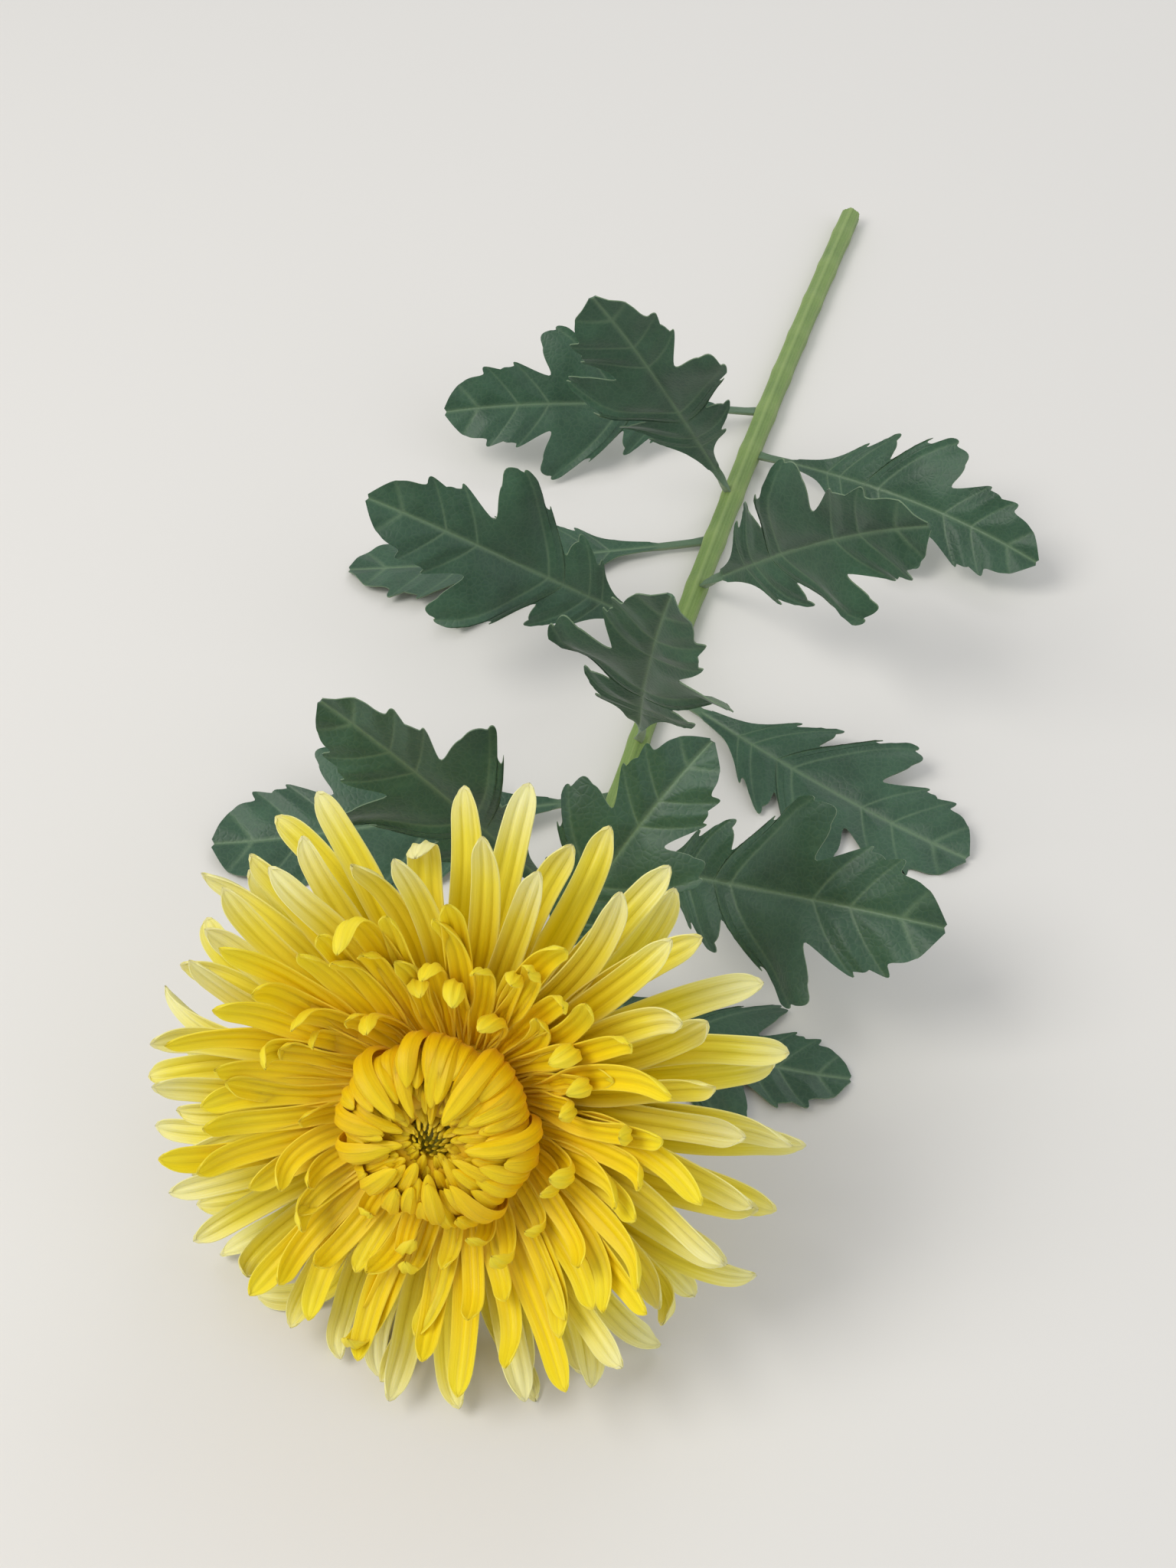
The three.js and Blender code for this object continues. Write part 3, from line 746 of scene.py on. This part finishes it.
# %% Growing the bloom
for node, *values in zip(KIND_NODES, *BY_KIND.values()):
    kind = dict(zip(BY_KIND, values))
    skins = Skins()
    base = turned_rings(kind["base"], BASE_SIDES)
    skins.add(from_bloom(base) + SHIFT, along=0.6, across=0, tone=0.4, under=0, green=0.3)
    for number in range(kind["count"]):
        age = mix(*kind["ages"], number / (kind["count"] - 1))
        add_floret(skins, kind["first"] + number, age, kind)
    skins.piece(node + "_petals", node, node, [kind["material"]])


# %% [markdown]
# In the very middle the youngest florets are still shut: green spikes a few millimetres long that lean
# together and turn yellow at their tips. Dark green shows in the slits between them, because little light
# gets in there.

# %% The green eye's material
def bud_material():
    material, kept = new_material("waxy green floret buds", "along", "tone")
    ripe = {"operation": "MULTIPLY_ADD", 0: kept["tone"], 1: 0.3, 2: kept["along"]}
    moved = add_node(material, "ShaderNodeMath", ripe)
    centred = add_node(material, "ShaderNodeMath", {"operation": "SUBTRACT", 0: moved, 1: 0.15})
    ramp = add_node(material, "ShaderNodeValToRGB", {"Fac": centred})
    set_stops(ramp, [(0.0, "#7a7418"), (0.35, "#a6981c"), (0.65, "#ceb220"), (1.0, "#e8c820")])
    bump = add_node(material, "ShaderNodeBump", {"Strength": 0.2, "Distance": 0.2 * MM, "Height": centred})
    wax = add_node(material, "ShaderNodeMath", {"operation": "MULTIPLY_ADD", 0: centred, 1: 0.2, 2: 0.4})
    skin = {"Base Color": ramp, "Roughness": wax, "Normal": bump, "IOR": 1.42}
    shader = add_node(material, "ShaderNodeBsdfPrincipled", skin)
    add_node(material, "ShaderNodeOutputMaterial", {"Surface": shader})
    return material


# %% The green eye
EYE_FLORETS = 36
EYE_RADIUS = 5.0
EYE_FOOT = 26.8
EYE_TOPS = (30.6, 32.2)
EYE_SECTION = [[0, 25.9], [4.7, 26.3], [5.1, 28.8], [3, 29], [0, 29.1]]
EYE_SEED = SHAPE_SEED + 7000
EYE_STEP = 13
BUD_GIRTHS = (0.55, 0.85)
BUD_SIDES = 8
BUD_ROWS = 9

skins = Skins()
base = turned_rings(EYE_SECTION, 24)
skins.add(from_bloom(base) + SHIFT, along=0, tone=0.5)
for index in range(EYE_FLORETS):
    draw = draws_from(EYE_SEED + index * EYE_STEP)
    share = np.sqrt((index + 0.5) / EYE_FLORETS)
    turn = np.radians(index * GOLDEN_ANGLE)
    out, sideways = out_and_sideways(turn)
    t = np.linspace(0, 1, BUD_ROWS)
    radius = EYE_RADIUS * share * (0.85 + 0.3 * np.sin(0.8 * np.pi * t) - 0.25 * t**2)
    height = mix(EYE_FOOT, mix(*EYE_TOPS, share) + spread(draw, 0.3), t)
    girth = mix(*BUD_GIRTHS, share) * np.sqrt(np.clip(1.02 - (2 * t - 1) ** 6, 0.02, 1)) * (1 - 0.35 * t)
    angle = angles_round(BUD_SIDES)
    round_it = 0.7 * out * np.cos(angle)[:, None] + sideways * np.sin(angle)[:, None]
    centre = out * radius[:, None] + UP * height[:, None]
    rings = centre[:, None] + round_it * girth[:, None, None]
    skins.add(from_bloom(rings) + SHIFT, along=(t * mix(0.85, 1.0, share))[:, None], tone=draw())
skins.piece("green_eye_florets", "green_eye", "green_eye", [bud_material()])


# %% [markdown]
# The green parts are denser tissue than a petal, so little light goes through them. A leaf is dark bluish
# green and satin above, and paler, greyer and dull below, where it has a felt of hairs too short to see:
# a little sheen stands for it. Veins are paler. A noise gives patches about 16 mm wide, and a Voronoi
# pattern with cells of 1.8 mm is the fine net of veins, as faint lines and a low relief. Stem and bracts
# use the same finish in their own greens.

# %% The green materials
PATCH_SIZE = 16
NET_CELL = 1.8
NET_LINE = 0.16
NET_SHARE = 0.055
VEIN_SHARE = 0.46


def green_material(name, colours, vein_colour, gloss, relief):
    material, kept = new_material(name, "vein")
    place = add_node(material, "ShaderNodeTexCoord", {}).outputs["Object"]
    patch_noise = {"Vector": place, "Scale": 1 / (PATCH_SIZE * MM), "Detail": 4.0, "Roughness": 0.6}
    patches = add_node(material, "ShaderNodeTexNoise", patch_noise)
    net = {"feature": "DISTANCE_TO_EDGE", "Vector": place, "Scale": 1 / (NET_CELL * MM)}
    cells = add_node(material, "ShaderNodeTexVoronoi", net)
    ramp = add_node(material, "ShaderNodeValToRGB", {"Fac": patches})
    set_stops(ramp, [(0.3, colours[0]), (0.7, colours[1])])
    on_veins = {"operation": "MULTIPLY", 0: kept["vein"], 1: VEIN_SHARE}
    vein_share = add_node(material, "ShaderNodeMath", on_veins)
    line = {"interpolation_type": "SMOOTHSTEP", "Value": cells, "From Max": NET_LINE}
    net_share = add_node(material, "ShaderNodeMapRange", line | {"To Min": NET_SHARE, "To Max": 0.0})
    colour = ramp.outputs[0]
    for share in (vein_share, net_share):
        blend = {"data_type": "RGBA", 0: share, 6: colour, 7: linear(vein_colour)}
        colour = add_node(material, "ShaderNodeMix", blend).outputs[2]
    blisters = add_node(material, "ShaderNodeMath", {"operation": "SMOOTH_MIN", 0: cells, 1: 0.25, 2: 0.2})
    sunk = {"operation": "MULTIPLY_ADD", 0: kept["vein"], 1: -0.4, 2: blisters}
    height = add_node(material, "ShaderNodeMath", sunk)
    raised = {"Strength": relief, "Distance": 0.5 * MM, "Height": height}
    bump = add_node(material, "ShaderNodeBump", raised)
    uneven = {"operation": "MULTIPLY_ADD", 0: patches, 1: 0.3, 2: gloss - 0.15}
    roughness = add_node(material, "ShaderNodeMath", uneven)
    tissue = {
        "Base Color": colour,
        "Roughness": roughness,
        "Normal": bump,
        "IOR": 1.45,
        "Subsurface Weight": 0.08,
        "Subsurface Radius": (0.5, 1.0, 0.2),
        "Subsurface Scale": 1 * MM,
        "Sheen Weight": 0.1,
        "Sheen Roughness": 0.5,
    }
    shader = add_node(material, "ShaderNodeBsdfPrincipled", tissue)
    add_node(material, "ShaderNodeOutputMaterial", {"Surface": shader})
    return material


leaf_upper = green_material("satin upper leaf skin", ("#2b4a37", "#3c6048"), "#86a07c", 0.46, 0.4)
leaf_under = green_material("felted lower leaf skin", ("#5f765c", "#71866a"), "#a9b894", 0.7, 0.5)
stem_skin = green_material("ribbed green stem skin", ("#6a8746", "#7f9a52"), "#a6b873", 0.55, 0.3)
bract_skin = green_material("dry-edged green bracts", ("#587338", "#708c46"), "#b9bf8d", 0.6, 0.3)
pith = green_material("pale spongy pith", ("#b9c38c", "#d5d9b4"), "#e6e6cf", 0.75, 0.4)
print("green materials:", [m.name for m in (leaf_upper, leaf_under, stem_skin, bract_skin, pith)])


# %% [markdown]
# The stem has six broad ribs with finer ones between them, and it swells a little where a leaf stands or
# stood. Sixty points to a ring are enough for the fine ribs. The first ring reaches into the cup. The
# last face is the cut, and shows the pith.

# %% The stem
FIRST_LEAF_AT = 36
LEAF_SPACING = 24.5
STEM_SIDES = 60
STEM_ROWS = 230
RIBS = 6
FINE_RIBS = 20
FINE_RIB = 0.03
NODE_SWELL = 0.09
NODE_LENGTH = 3.5
STEM_INTO_CUP = 0.8

angles = angles_round(STEM_SIDES)
rings, ribs = [], []
for distance in np.linspace(0, stem_line.length, STEM_ROWS):
    nearest = max(0, round((distance - FIRST_LEAF_AT) / LEAF_SPACING))
    from_node = distance - (FIRST_LEAF_AT + nearest * LEAF_SPACING)
    swell = NODE_SWELL * bell(from_node / NODE_LENGTH)
    broad = 0.7 * STEM_RIB * np.cos(RIBS * angles)
    fine = FINE_RIB * np.cos(FINE_RIBS * angles + distance * 0.004)
    ring = stem_ring(distance, stem_at(distance)[2] * (1 + broad + fine + swell), angles)
    ring[:, 2] = np.maximum(ring[:, 2], TABLE_CLEARANCE)
    rings.append(ring)
    ribs.append(np.clip(np.cos(RIBS * angles), 0, 1) ** 3 * 0.7 + swell * 3)
rings = np.array(rings)
rings[0] -= stem_at(0)[1] * STEM_INTO_CUP
skins = Skins()
skins.add(rings + SHIFT, end_material=1, vein=np.array(ribs))
skins.piece("stem_skin", "stem", "stem", [stem_skin, pith])


# %% [markdown]
# The bloom sits in a green cup of overlapping bracts: narrow scales with a thin pale margin, in three
# rows. Each is a thin sheet bent along the turned cup, and the last row lies against the feet of the
# rays.

# %% The green cup
CUP_SECTION = [[0, -9], [3.1, -9], [6.2, -7.2], [10.5, -3.4], [13.6, 1], [13.4, 1.75], [0, -1.95]]
BRACT_CURVE = np.array([[8, -5.6], [12.8, -1.6], [16.2, 3.2]])
BRACT_ROWS = 3
BRACTS_IN_ROW = 13
BRACT_HALF_WIDTH = 2.3
ROW_STEP = np.array([0.42, 1.15])
CUP_SEED = SHAPE_SEED + 9000
ROW_SEEDS = 100
BRACT_STEP = 7
BRACT_SPREAD = 4

skins = Skins()
cup = turned_rings(CUP_SECTION, 64)
skins.add(from_bloom(cup) + SHIFT, vein=0.1)
t = np.linspace(0, 1, 14)[:, None]
u = np.linspace(-1, 1, 7)
curve = (1 - t) ** 2 * BRACT_CURVE[0] + 2 * t * (1 - t) * BRACT_CURVE[1] + t**2 * BRACT_CURVE[2]
half = BRACT_HALF_WIDTH * np.sqrt(np.clip(1 - (1.35 * t - 0.35) ** 4, 0.004, 1)) * mix(1.0, 0.75, t)
for row in range(BRACT_ROWS):
    for number in range(BRACTS_IN_ROW):
        draw = draws_from(CUP_SEED + row * ROW_SEEDS + number * BRACT_STEP)
        turn = np.radians((number + row / BRACT_ROWS) * 360 / BRACTS_IN_ROW + spread(draw, BRACT_SPREAD))
        out, sideways = out_and_sideways(turn)
        moved = curve - ROW_STEP * (BRACT_ROWS - 1 - row)
        middle = out * moved[:, :1] + UP * moved[:, 1:]
        face = np.cross(unit(np.gradient(middle, axis=0)), sideways)[:, None]
        sheet = middle[:, None] + sideways * (half * u)[..., None] + face * (0.1 * half * u**2)[..., None]
        thick = face * (0.22 - 0.1 * u**2)[:, None]
        rings = sheet_rings(sheet + thick, sheet - thick)
        pale_margin = np.abs(np.concatenate([u, u[::-1]])) ** 5
        skins.add(from_bloom(rings) + SHIFT, vein=pale_margin)
skins.piece("green_cup_bracts", "green_cup", "green_cup", [bract_skin])


# %% [markdown]
# A leaf is a wedge-footed blade cut into blunt lobes, with forward teeth along their outer edges. The
# table is half a leaf's margin, as shares of the blade's length, along and out from the midrib, and it is
# the solids' own. A smooth curve goes through it. Rows of points run from the midrib slanting forward to
# the margin, as the side veins do, and the teeth lengthen some of the rows.

# %% The leaf's margin
LEAF_MARGIN = np.array(
    [
        [0.0, 0.02], [0.12, 0.042], [0.19, 0.08], [0.25, 0.13], [0.27, 0.122], [0.35, 0.182],
        [0.375, 0.165], [0.37, 0.105], [0.43, 0.15], [0.49, 0.212], [0.515, 0.205], [0.585, 0.262],
        [0.64, 0.258], [0.668, 0.205], [0.63, 0.105], [0.755, 0.155], [0.775, 0.138], [0.85, 0.142],
        [0.872, 0.112], [0.945, 0.09], [1.0, 0.012],
    ]
)
MARGIN_ENDS = len(LEAF_MARGIN) - 1
ROWS_PER_POINT = 8
ROUNDNESS = 0.9
VEIN_SLANTS = (0.6, 1.4)
TOOTH_SIZE = 0.014
TEETH_PER_POINT = 0.85
TOOTH_LEAN = 1.6
TEETH_FROM_WIDTH = 0.07


def smooth_through(points, places):
    """A smooth curve through points, read at places counted in points."""
    first = np.clip(np.floor(places).astype(int), 0, len(points) - 2)
    t = (places - first)[:, None]
    a, b = points[first], points[first + 1]
    start = (b - points[np.maximum(first - 1, 0)]) / 2
    end = (points[np.minimum(first + 2, len(points) - 1)] - a) / 2
    rise = 3 * t**2 - 2 * t**3
    return mix(a, b, rise) + (t**3 - 2 * t**2 + t) * start + (t**3 - t**2) * end


def ahead_of_foot(y):
    """How far a row of points has come forward, where it is y out from the midrib."""
    return y * (VEIN_SLANTS[0] + VEIN_SLANTS[1] * y)


places = np.linspace(0, MARGIN_ENDS, MARGIN_ENDS * ROWS_PER_POINT + 1)
straight = np.stack([np.interp(places, range(MARGIN_ENDS + 1), LEAF_MARGIN[:, k]) for k in (0, 1)], -1)
margin = mix(straight, smooth_through(LEAF_MARGIN, places), ROUNDNESS)
wanted_feet = margin[:, 0] - ahead_of_foot(margin[:, 1])
none_behind = np.maximum.accumulate(wanted_feet)
none_ahead = np.minimum.accumulate(wanted_feet[::-1])[::-1]
feet = np.maximum(0, (none_behind + none_ahead) / 2)
teeth = np.sin(np.pi * (places * TEETH_PER_POINT % 1) ** TOOTH_LEAN) ** 0.8 * TOOTH_SIZE
teeth = teeth * ease((margin[:, 1] - TEETH_FROM_WIDTH) / 0.08) * ease((MARGIN_ENDS - places) / 0.5)
row_ends = np.maximum(margin[:, 1] + teeth, 0.004)
print("rows of points from midrib to margin:", len(places))


# %% [markdown]
# The leaves stand in the golden spiral too, but those that would go into the table were pushed up to its
# level when the stem was laid down. Each midrib leaves the stem, arches and droops by its own draws, the
# same as in the solids, and lies on the table where it reaches it. The stalk's foot is sunk in the stem's
# skin.

# %% A leaf's midrib
LEAF_COUNT = 13
FIRST_LEAF_TURN = 40
LEAF_TURN_SHARE = 0.62
LEAF_LENGTH = 116
YOUNGEST_SIZE = 0.72
YOUNGEST_OPENING = 80
LEAF_OPENING = 62
YOUNG_LEAVES = 4
LEAF_DROOP = 0.5
LEAF_STATIONS = 12
LEAF_ARCHES = (6, 26)
LEAF_LEAN = 0.25
LEAF_REST = 0.6
LEAF_SETTLING = 9
LEAF_TURNED_UP = 0.6
STALK_SUNK = 1.2


def leaf_midrib(n):
    """The midrib's line, the direction across its foot, and the leaf's length, lean, widths and turn."""
    draw = draws_from(SHAPE_SEED + LEAF_STEP * (n + 1))
    middle, along, radius = stem_at(FIRST_LEAF_AT + n * LEAF_SPACING)
    to_bloom = -along
    top = unit(UP - to_bloom * np.dot(UP, to_bloom))
    around = (n * GOLDEN_ANGLE + FIRST_LEAF_TURN + 180) % 360 - 180
    turn = np.radians(around * LEAF_TURN_SHARE + spread(draw, 6))
    out = top * np.cos(turn) + np.cross(top, to_bloom) * np.sin(turn)
    grown = ease((n + 0.5) / YOUNG_LEAVES)
    size = LEAF_LENGTH * mix(YOUNGEST_SIZE, 1, grown) * (1 + spread(draw, 0.07))
    opening = mix(YOUNGEST_OPENING, LEAF_OPENING, ease(n / YOUNG_LEAVES)) + spread(draw, 6)
    arch = mix(*LEAF_ARCHES, draw())
    points = [middle + out * (radius - STALK_SUNK)]
    for share in np.arange(LEAF_STATIONS) / LEAF_STATIONS:
        angle = np.radians(opening + arch * share)
        step = to_bloom * np.cos(angle) + out * np.sin(angle) - UP * LEAF_DROOP * share**1.5
        points.append(points[-1] + unit(step) * size / LEAF_STATIONS)
    laid = lay_on_table(np.array(points), UP, lambda point: point[2], LEAF_REST, LEAF_SETTLING)
    line = Line(smooth_through(laid, np.linspace(0, LEAF_STATIONS, 300)))
    lean = spread(draw, LEAF_LEAN)
    side_widths = [1 + spread(draw, 0.08) for _ in range(2)]
    turned_up = LEAF_TURNED_UP * ease(abs(turn) / (np.pi / 2))
    return line, np.cross(to_bloom, out), size, lean, side_widths, turned_up


# %% [markdown]
# The blade is laid out flat first. Then it is folded a little along its midrib, it blisters up between
# the veins, its lobes wave up and down, and its margins sag. All but the blisters is less where the leaf
# lies on the table. Blisters and veins are found by distance: each point knows how far off the nearest
# vein is, on the flat blade.

# %% A leaf's flat layout
STALK_SHARE = 0.15
STALK_HALF_WIDTH = 1.6
STALK_ROWS = 12
COLUMNS_PER_SIDE = 10
VEIN_ROWS = [3, 5.2, 9, 11.6, 15, 17, 19]
LOBE_SPREAD = 0.1
LOBES_DRAWN = 6

even = np.linspace(-1, 1, 2 * COLUMNS_PER_SIDE + 1)
u = np.sign(even) * np.abs(even) ** 1.4
stalk_shares = np.linspace(0, STALK_SHARE, STALK_ROWS, endpoint=False)
row_shares = np.concatenate([stalk_shares, mix(STALK_SHARE, 1, feet)])


def half_widths(size, own):
    """Each row's half width. The stalk widens where it joins the stem, and no two lobes are alike."""
    stalk = STALK_HALF_WIDTH * mix(1.2, 0.9, ease(stalk_shares / STALK_SHARE / 0.35))
    drawn = [1 + spread(own, LOBE_SPREAD) for _ in range(LOBES_DRAWN)]
    lobes = np.interp(places, np.linspace(0, MARGIN_ENDS, LOBES_DRAWN), drawn)
    return np.concatenate([stalk, row_ends * lobes * size * (1 - STALK_SHARE)])


def distances_to_veins(x, y):
    """How far each point of the flat blade is from the midrib, and from the nearest side vein."""
    side = np.full(x.shape, 100.0)
    for vein_row in VEIN_ROWS:
        row = STALK_ROWS + round(vein_row * ROWS_PER_POINT)
        for half_row in (slice(0, COLUMNS_PER_SIDE), slice(COLUMNS_PER_SIDE, None)):
            off = np.hypot(x[..., None] - x[row, half_row], y[..., None] - y[row, half_row])
            side = np.minimum(side, off.min(axis=-1))
    return np.abs(y), side


# %% A leaf's sheet
LEAF_FOLD = 0.21
LEAF_LEVELLING = 26
BLISTER = 1.2
BLISTER_REACH = 3.5
LOBE_WAVE = 2.6
WAVE_LENGTH = 34
SAG = 0.006
VEIN_WIDTH = 0.42
MIDRIB_WIDTH = 0.6
SIDE_VEIN_STRENGTH = 0.75
STRENGTH_AT_MARGIN = 0.35
STALK_STRENGTH = 0.6
LYING_FLATTENS = 0.75


def leaf_sheet(n, own):
    """The sheet's points, its face directions, the width at each point, and the strength of veins there."""
    line, across_foot, size, lean, side_widths, turned_up = leaf_midrib(n)
    width = half_widths(size, own)[:, None] * np.abs(u) * np.where(u < 0, *side_widths)
    blade = size * (1 - STALK_SHARE)
    ahead = ahead_of_foot(width / blade) * blade
    ahead[:STALK_ROWS] = 0
    x, y = row_shares[:, None] * size + ahead, width * np.sign(u)
    off_midrib, off_side = distances_to_veins(x, y)
    side_strength = SIDE_VEIN_STRENGTH * bell(off_side / VEIN_WIDTH)
    strength = np.maximum(bell(off_midrib / MIDRIB_WIDTH), side_strength)
    strength = strength * mix(1.0, STRENGTH_AT_MARGIN, np.abs(u))
    strength[:STALK_ROWS] = STALK_STRENGTH
    middle, forward = line.point(row_shares), line.direction(row_shares)
    lying = 1 - ease((middle[:, 2] - LEAF_REST) / LEAF_LEVELLING)
    across = np.zeros_like(middle)
    for k, share in enumerate(row_shares):
        level = max(lying[k], turned_up * ease(share / 0.3))
        across[k] = turn_across(across_foot, forward[k], UP, level, lean * share)
    face = np.cross(forward, across)[:, None]
    phase = np.where(u < 0, own(), own())
    wave = LOBE_WAVE * np.sin(2 * np.pi * (x / WAVE_LENGTH + phase)) * (width / 20) ** 1.5
    blister = BLISTER * (1 - bell(np.minimum(off_midrib, off_side) / BLISTER_REACH))
    sag = SAG * width**2 * (0.4 + 0.8 * own())
    rise = (LEAF_FOLD * width - sag + wave) * (1 - LYING_FLATTENS * lying[:, None]) + blister
    sheet = middle[:, None] + across[:, None] * y[..., None] + forward[:, None] * ahead[..., None]
    return sheet + face * rise[..., None], face, width, strength


# %% [markdown]
# Veins sink the upper side a little and lift the under side, where they stand out. The midrib is a ridge
# under the blade that runs on from the stalk and gets lower towards the tip. The stalk itself is rounded.

# %% Adding one leaf
LEAF_OWN_SEED = SHAPE_SEED * 5
LEAF_OWN_STEP = 31
HALF_THICKNESS = 0.22
MIDRIB_DEPTHS = (1.5, 0.25)
MIDRIB_HALF_WIDTH = 1.3
VEIN_SUNK = 0.18
VEIN_RAISED = 0.3


def add_leaf(skins, n):
    own = draws_from(LEAF_OWN_SEED + n * LEAF_OWN_STEP)
    sheet, face, width, strength = leaf_sheet(n, own)
    thick = np.full(width.shape, HALF_THICKNESS)
    thick[:STALK_ROWS] = 2 * HALF_THICKNESS * np.sqrt(np.clip(1 - u**2, 0.05, 1))
    depth = mix(*MIDRIB_DEPTHS, ease(row_shares / 0.8))[:, None]
    midrib = depth * bell(width / MIDRIB_HALF_WIDTH)
    upper = sheet + face * (thick - VEIN_SUNK * strength)[..., None]
    lower = sheet - face * (thick + midrib + VEIN_RAISED * strength)[..., None]
    rings = sheet_rings(upper, lower)
    rings[..., 2] = np.maximum(rings[..., 2], TABLE_CLEARANCE)
    veins = np.concatenate([strength[:, ::-1], strength], axis=1)
    upper_then_under = [0] * (len(u) - 1) + [1] * (len(u) + 1)
    skins.add(rings + SHIFT, upper_then_under, vein=veins)


# %% Growing the leaves
for n in range(LEAF_COUNT):
    node = f"leaf_{n + 1:02d}"
    skins = Skins()
    add_leaf(skins, n)
    skins.piece(node + "_blade", node, "leaf", [leaf_upper, leaf_under])


# %% [markdown]
# The studio is a pale floor, one large soft light from the left front, two weaker ones and a white room.
# Soft light keeps the petals' own shading, and the view transform is Standard, because the default one
# would grey the yellows.

# %% Floor and light
FLOOR_REACH = 4.0
AIM = Vector((0, -0.05, 0.03))


def studio_floor():
    mesh = bpy.data.meshes.new("studio_floor")
    corners = [(x * FLOOR_REACH, y * FLOOR_REACH, 0) for x, y in ((-1, -1), (1, -1), (1, 1), (-1, 1))]
    mesh.from_pydata(corners, [], [(0, 1, 2, 3)])
    floor = bpy.data.objects.new("studio_floor", mesh)
    bpy.context.collection.objects.link(floor)
    material, _ = new_material("matt pale studio floor")
    paint = {"Base Color": linear("#e4e2de"), "Roughness": 0.7}
    shader = add_node(material, "ShaderNodeBsdfPrincipled", paint)
    add_node(material, "ShaderNodeOutputMaterial", {"Surface": shader})
    mesh.materials.append(material)


def soft_light(name, place, size, power, colour):
    data = bpy.data.lights.new(name, "AREA")
    data.size, data.energy, data.color = size, power, linear(colour)[:3]
    lamp = bpy.data.objects.new(name, data)
    lamp.location = place
    lamp.rotation_mode = "QUATERNION"
    lamp.rotation_quaternion = (AIM - Vector(place)).to_track_quat("-Z", "Y")
    bpy.context.collection.objects.link(lamp)


studio_floor()
soft_light("key_light", (-0.9, -0.7, 1.4), 0.9, 15, "#fffcf6")
soft_light("fill_light", (1.3, -0.5, 1.0), 1.4, 3.5, "#f2f6ff")
soft_light("back_light", (0.3, 1.3, 1.2), 1.0, 4, "#ffffff")
world = bpy.data.worlds.new("white room")
world.use_nodes = True
background = world.node_tree.nodes["Background"]
background.inputs["Color"].default_value = linear("#f4f5f7")
background.inputs["Strength"].default_value = 0.6
bpy.context.scene.world = world
bpy.context.scene.view_settings.view_transform = "Standard"


# %% [markdown]
# The camera looks down on the lying flower from in front of its bloom, as the photograph looks down on
# its blooms, and the portrait frame holds all of it with the stem going away up the frame.

# %% Camera
CAMERA_AZIMUTH = 16
CAMERA_ELEVATION = 48
CAMERA_LENS = 45
CAMERA_DISTANCE = 0.56
CAMERA_AIM = Vector((0.0, -0.088, 0.03))

azimuth, elevation = np.radians(CAMERA_AZIMUTH), np.radians(CAMERA_ELEVATION)
level = np.cos(elevation)
back = Vector((np.sin(azimuth) * level, -np.cos(azimuth) * level, np.sin(elevation)))
camera_data = bpy.data.cameras.new("camera")
camera_data.lens = CAMERA_LENS
camera = bpy.data.objects.new("camera", camera_data)
camera.location = CAMERA_AIM + back * CAMERA_DISTANCE
camera.rotation_mode = "QUATERNION"
camera.rotation_quaternion = (-back).to_track_quat("-Z", "Y")
bpy.context.collection.objects.link(camera)
bpy.context.scene.camera = camera
print("camera at:", [round(c, 3) for c in camera.location])
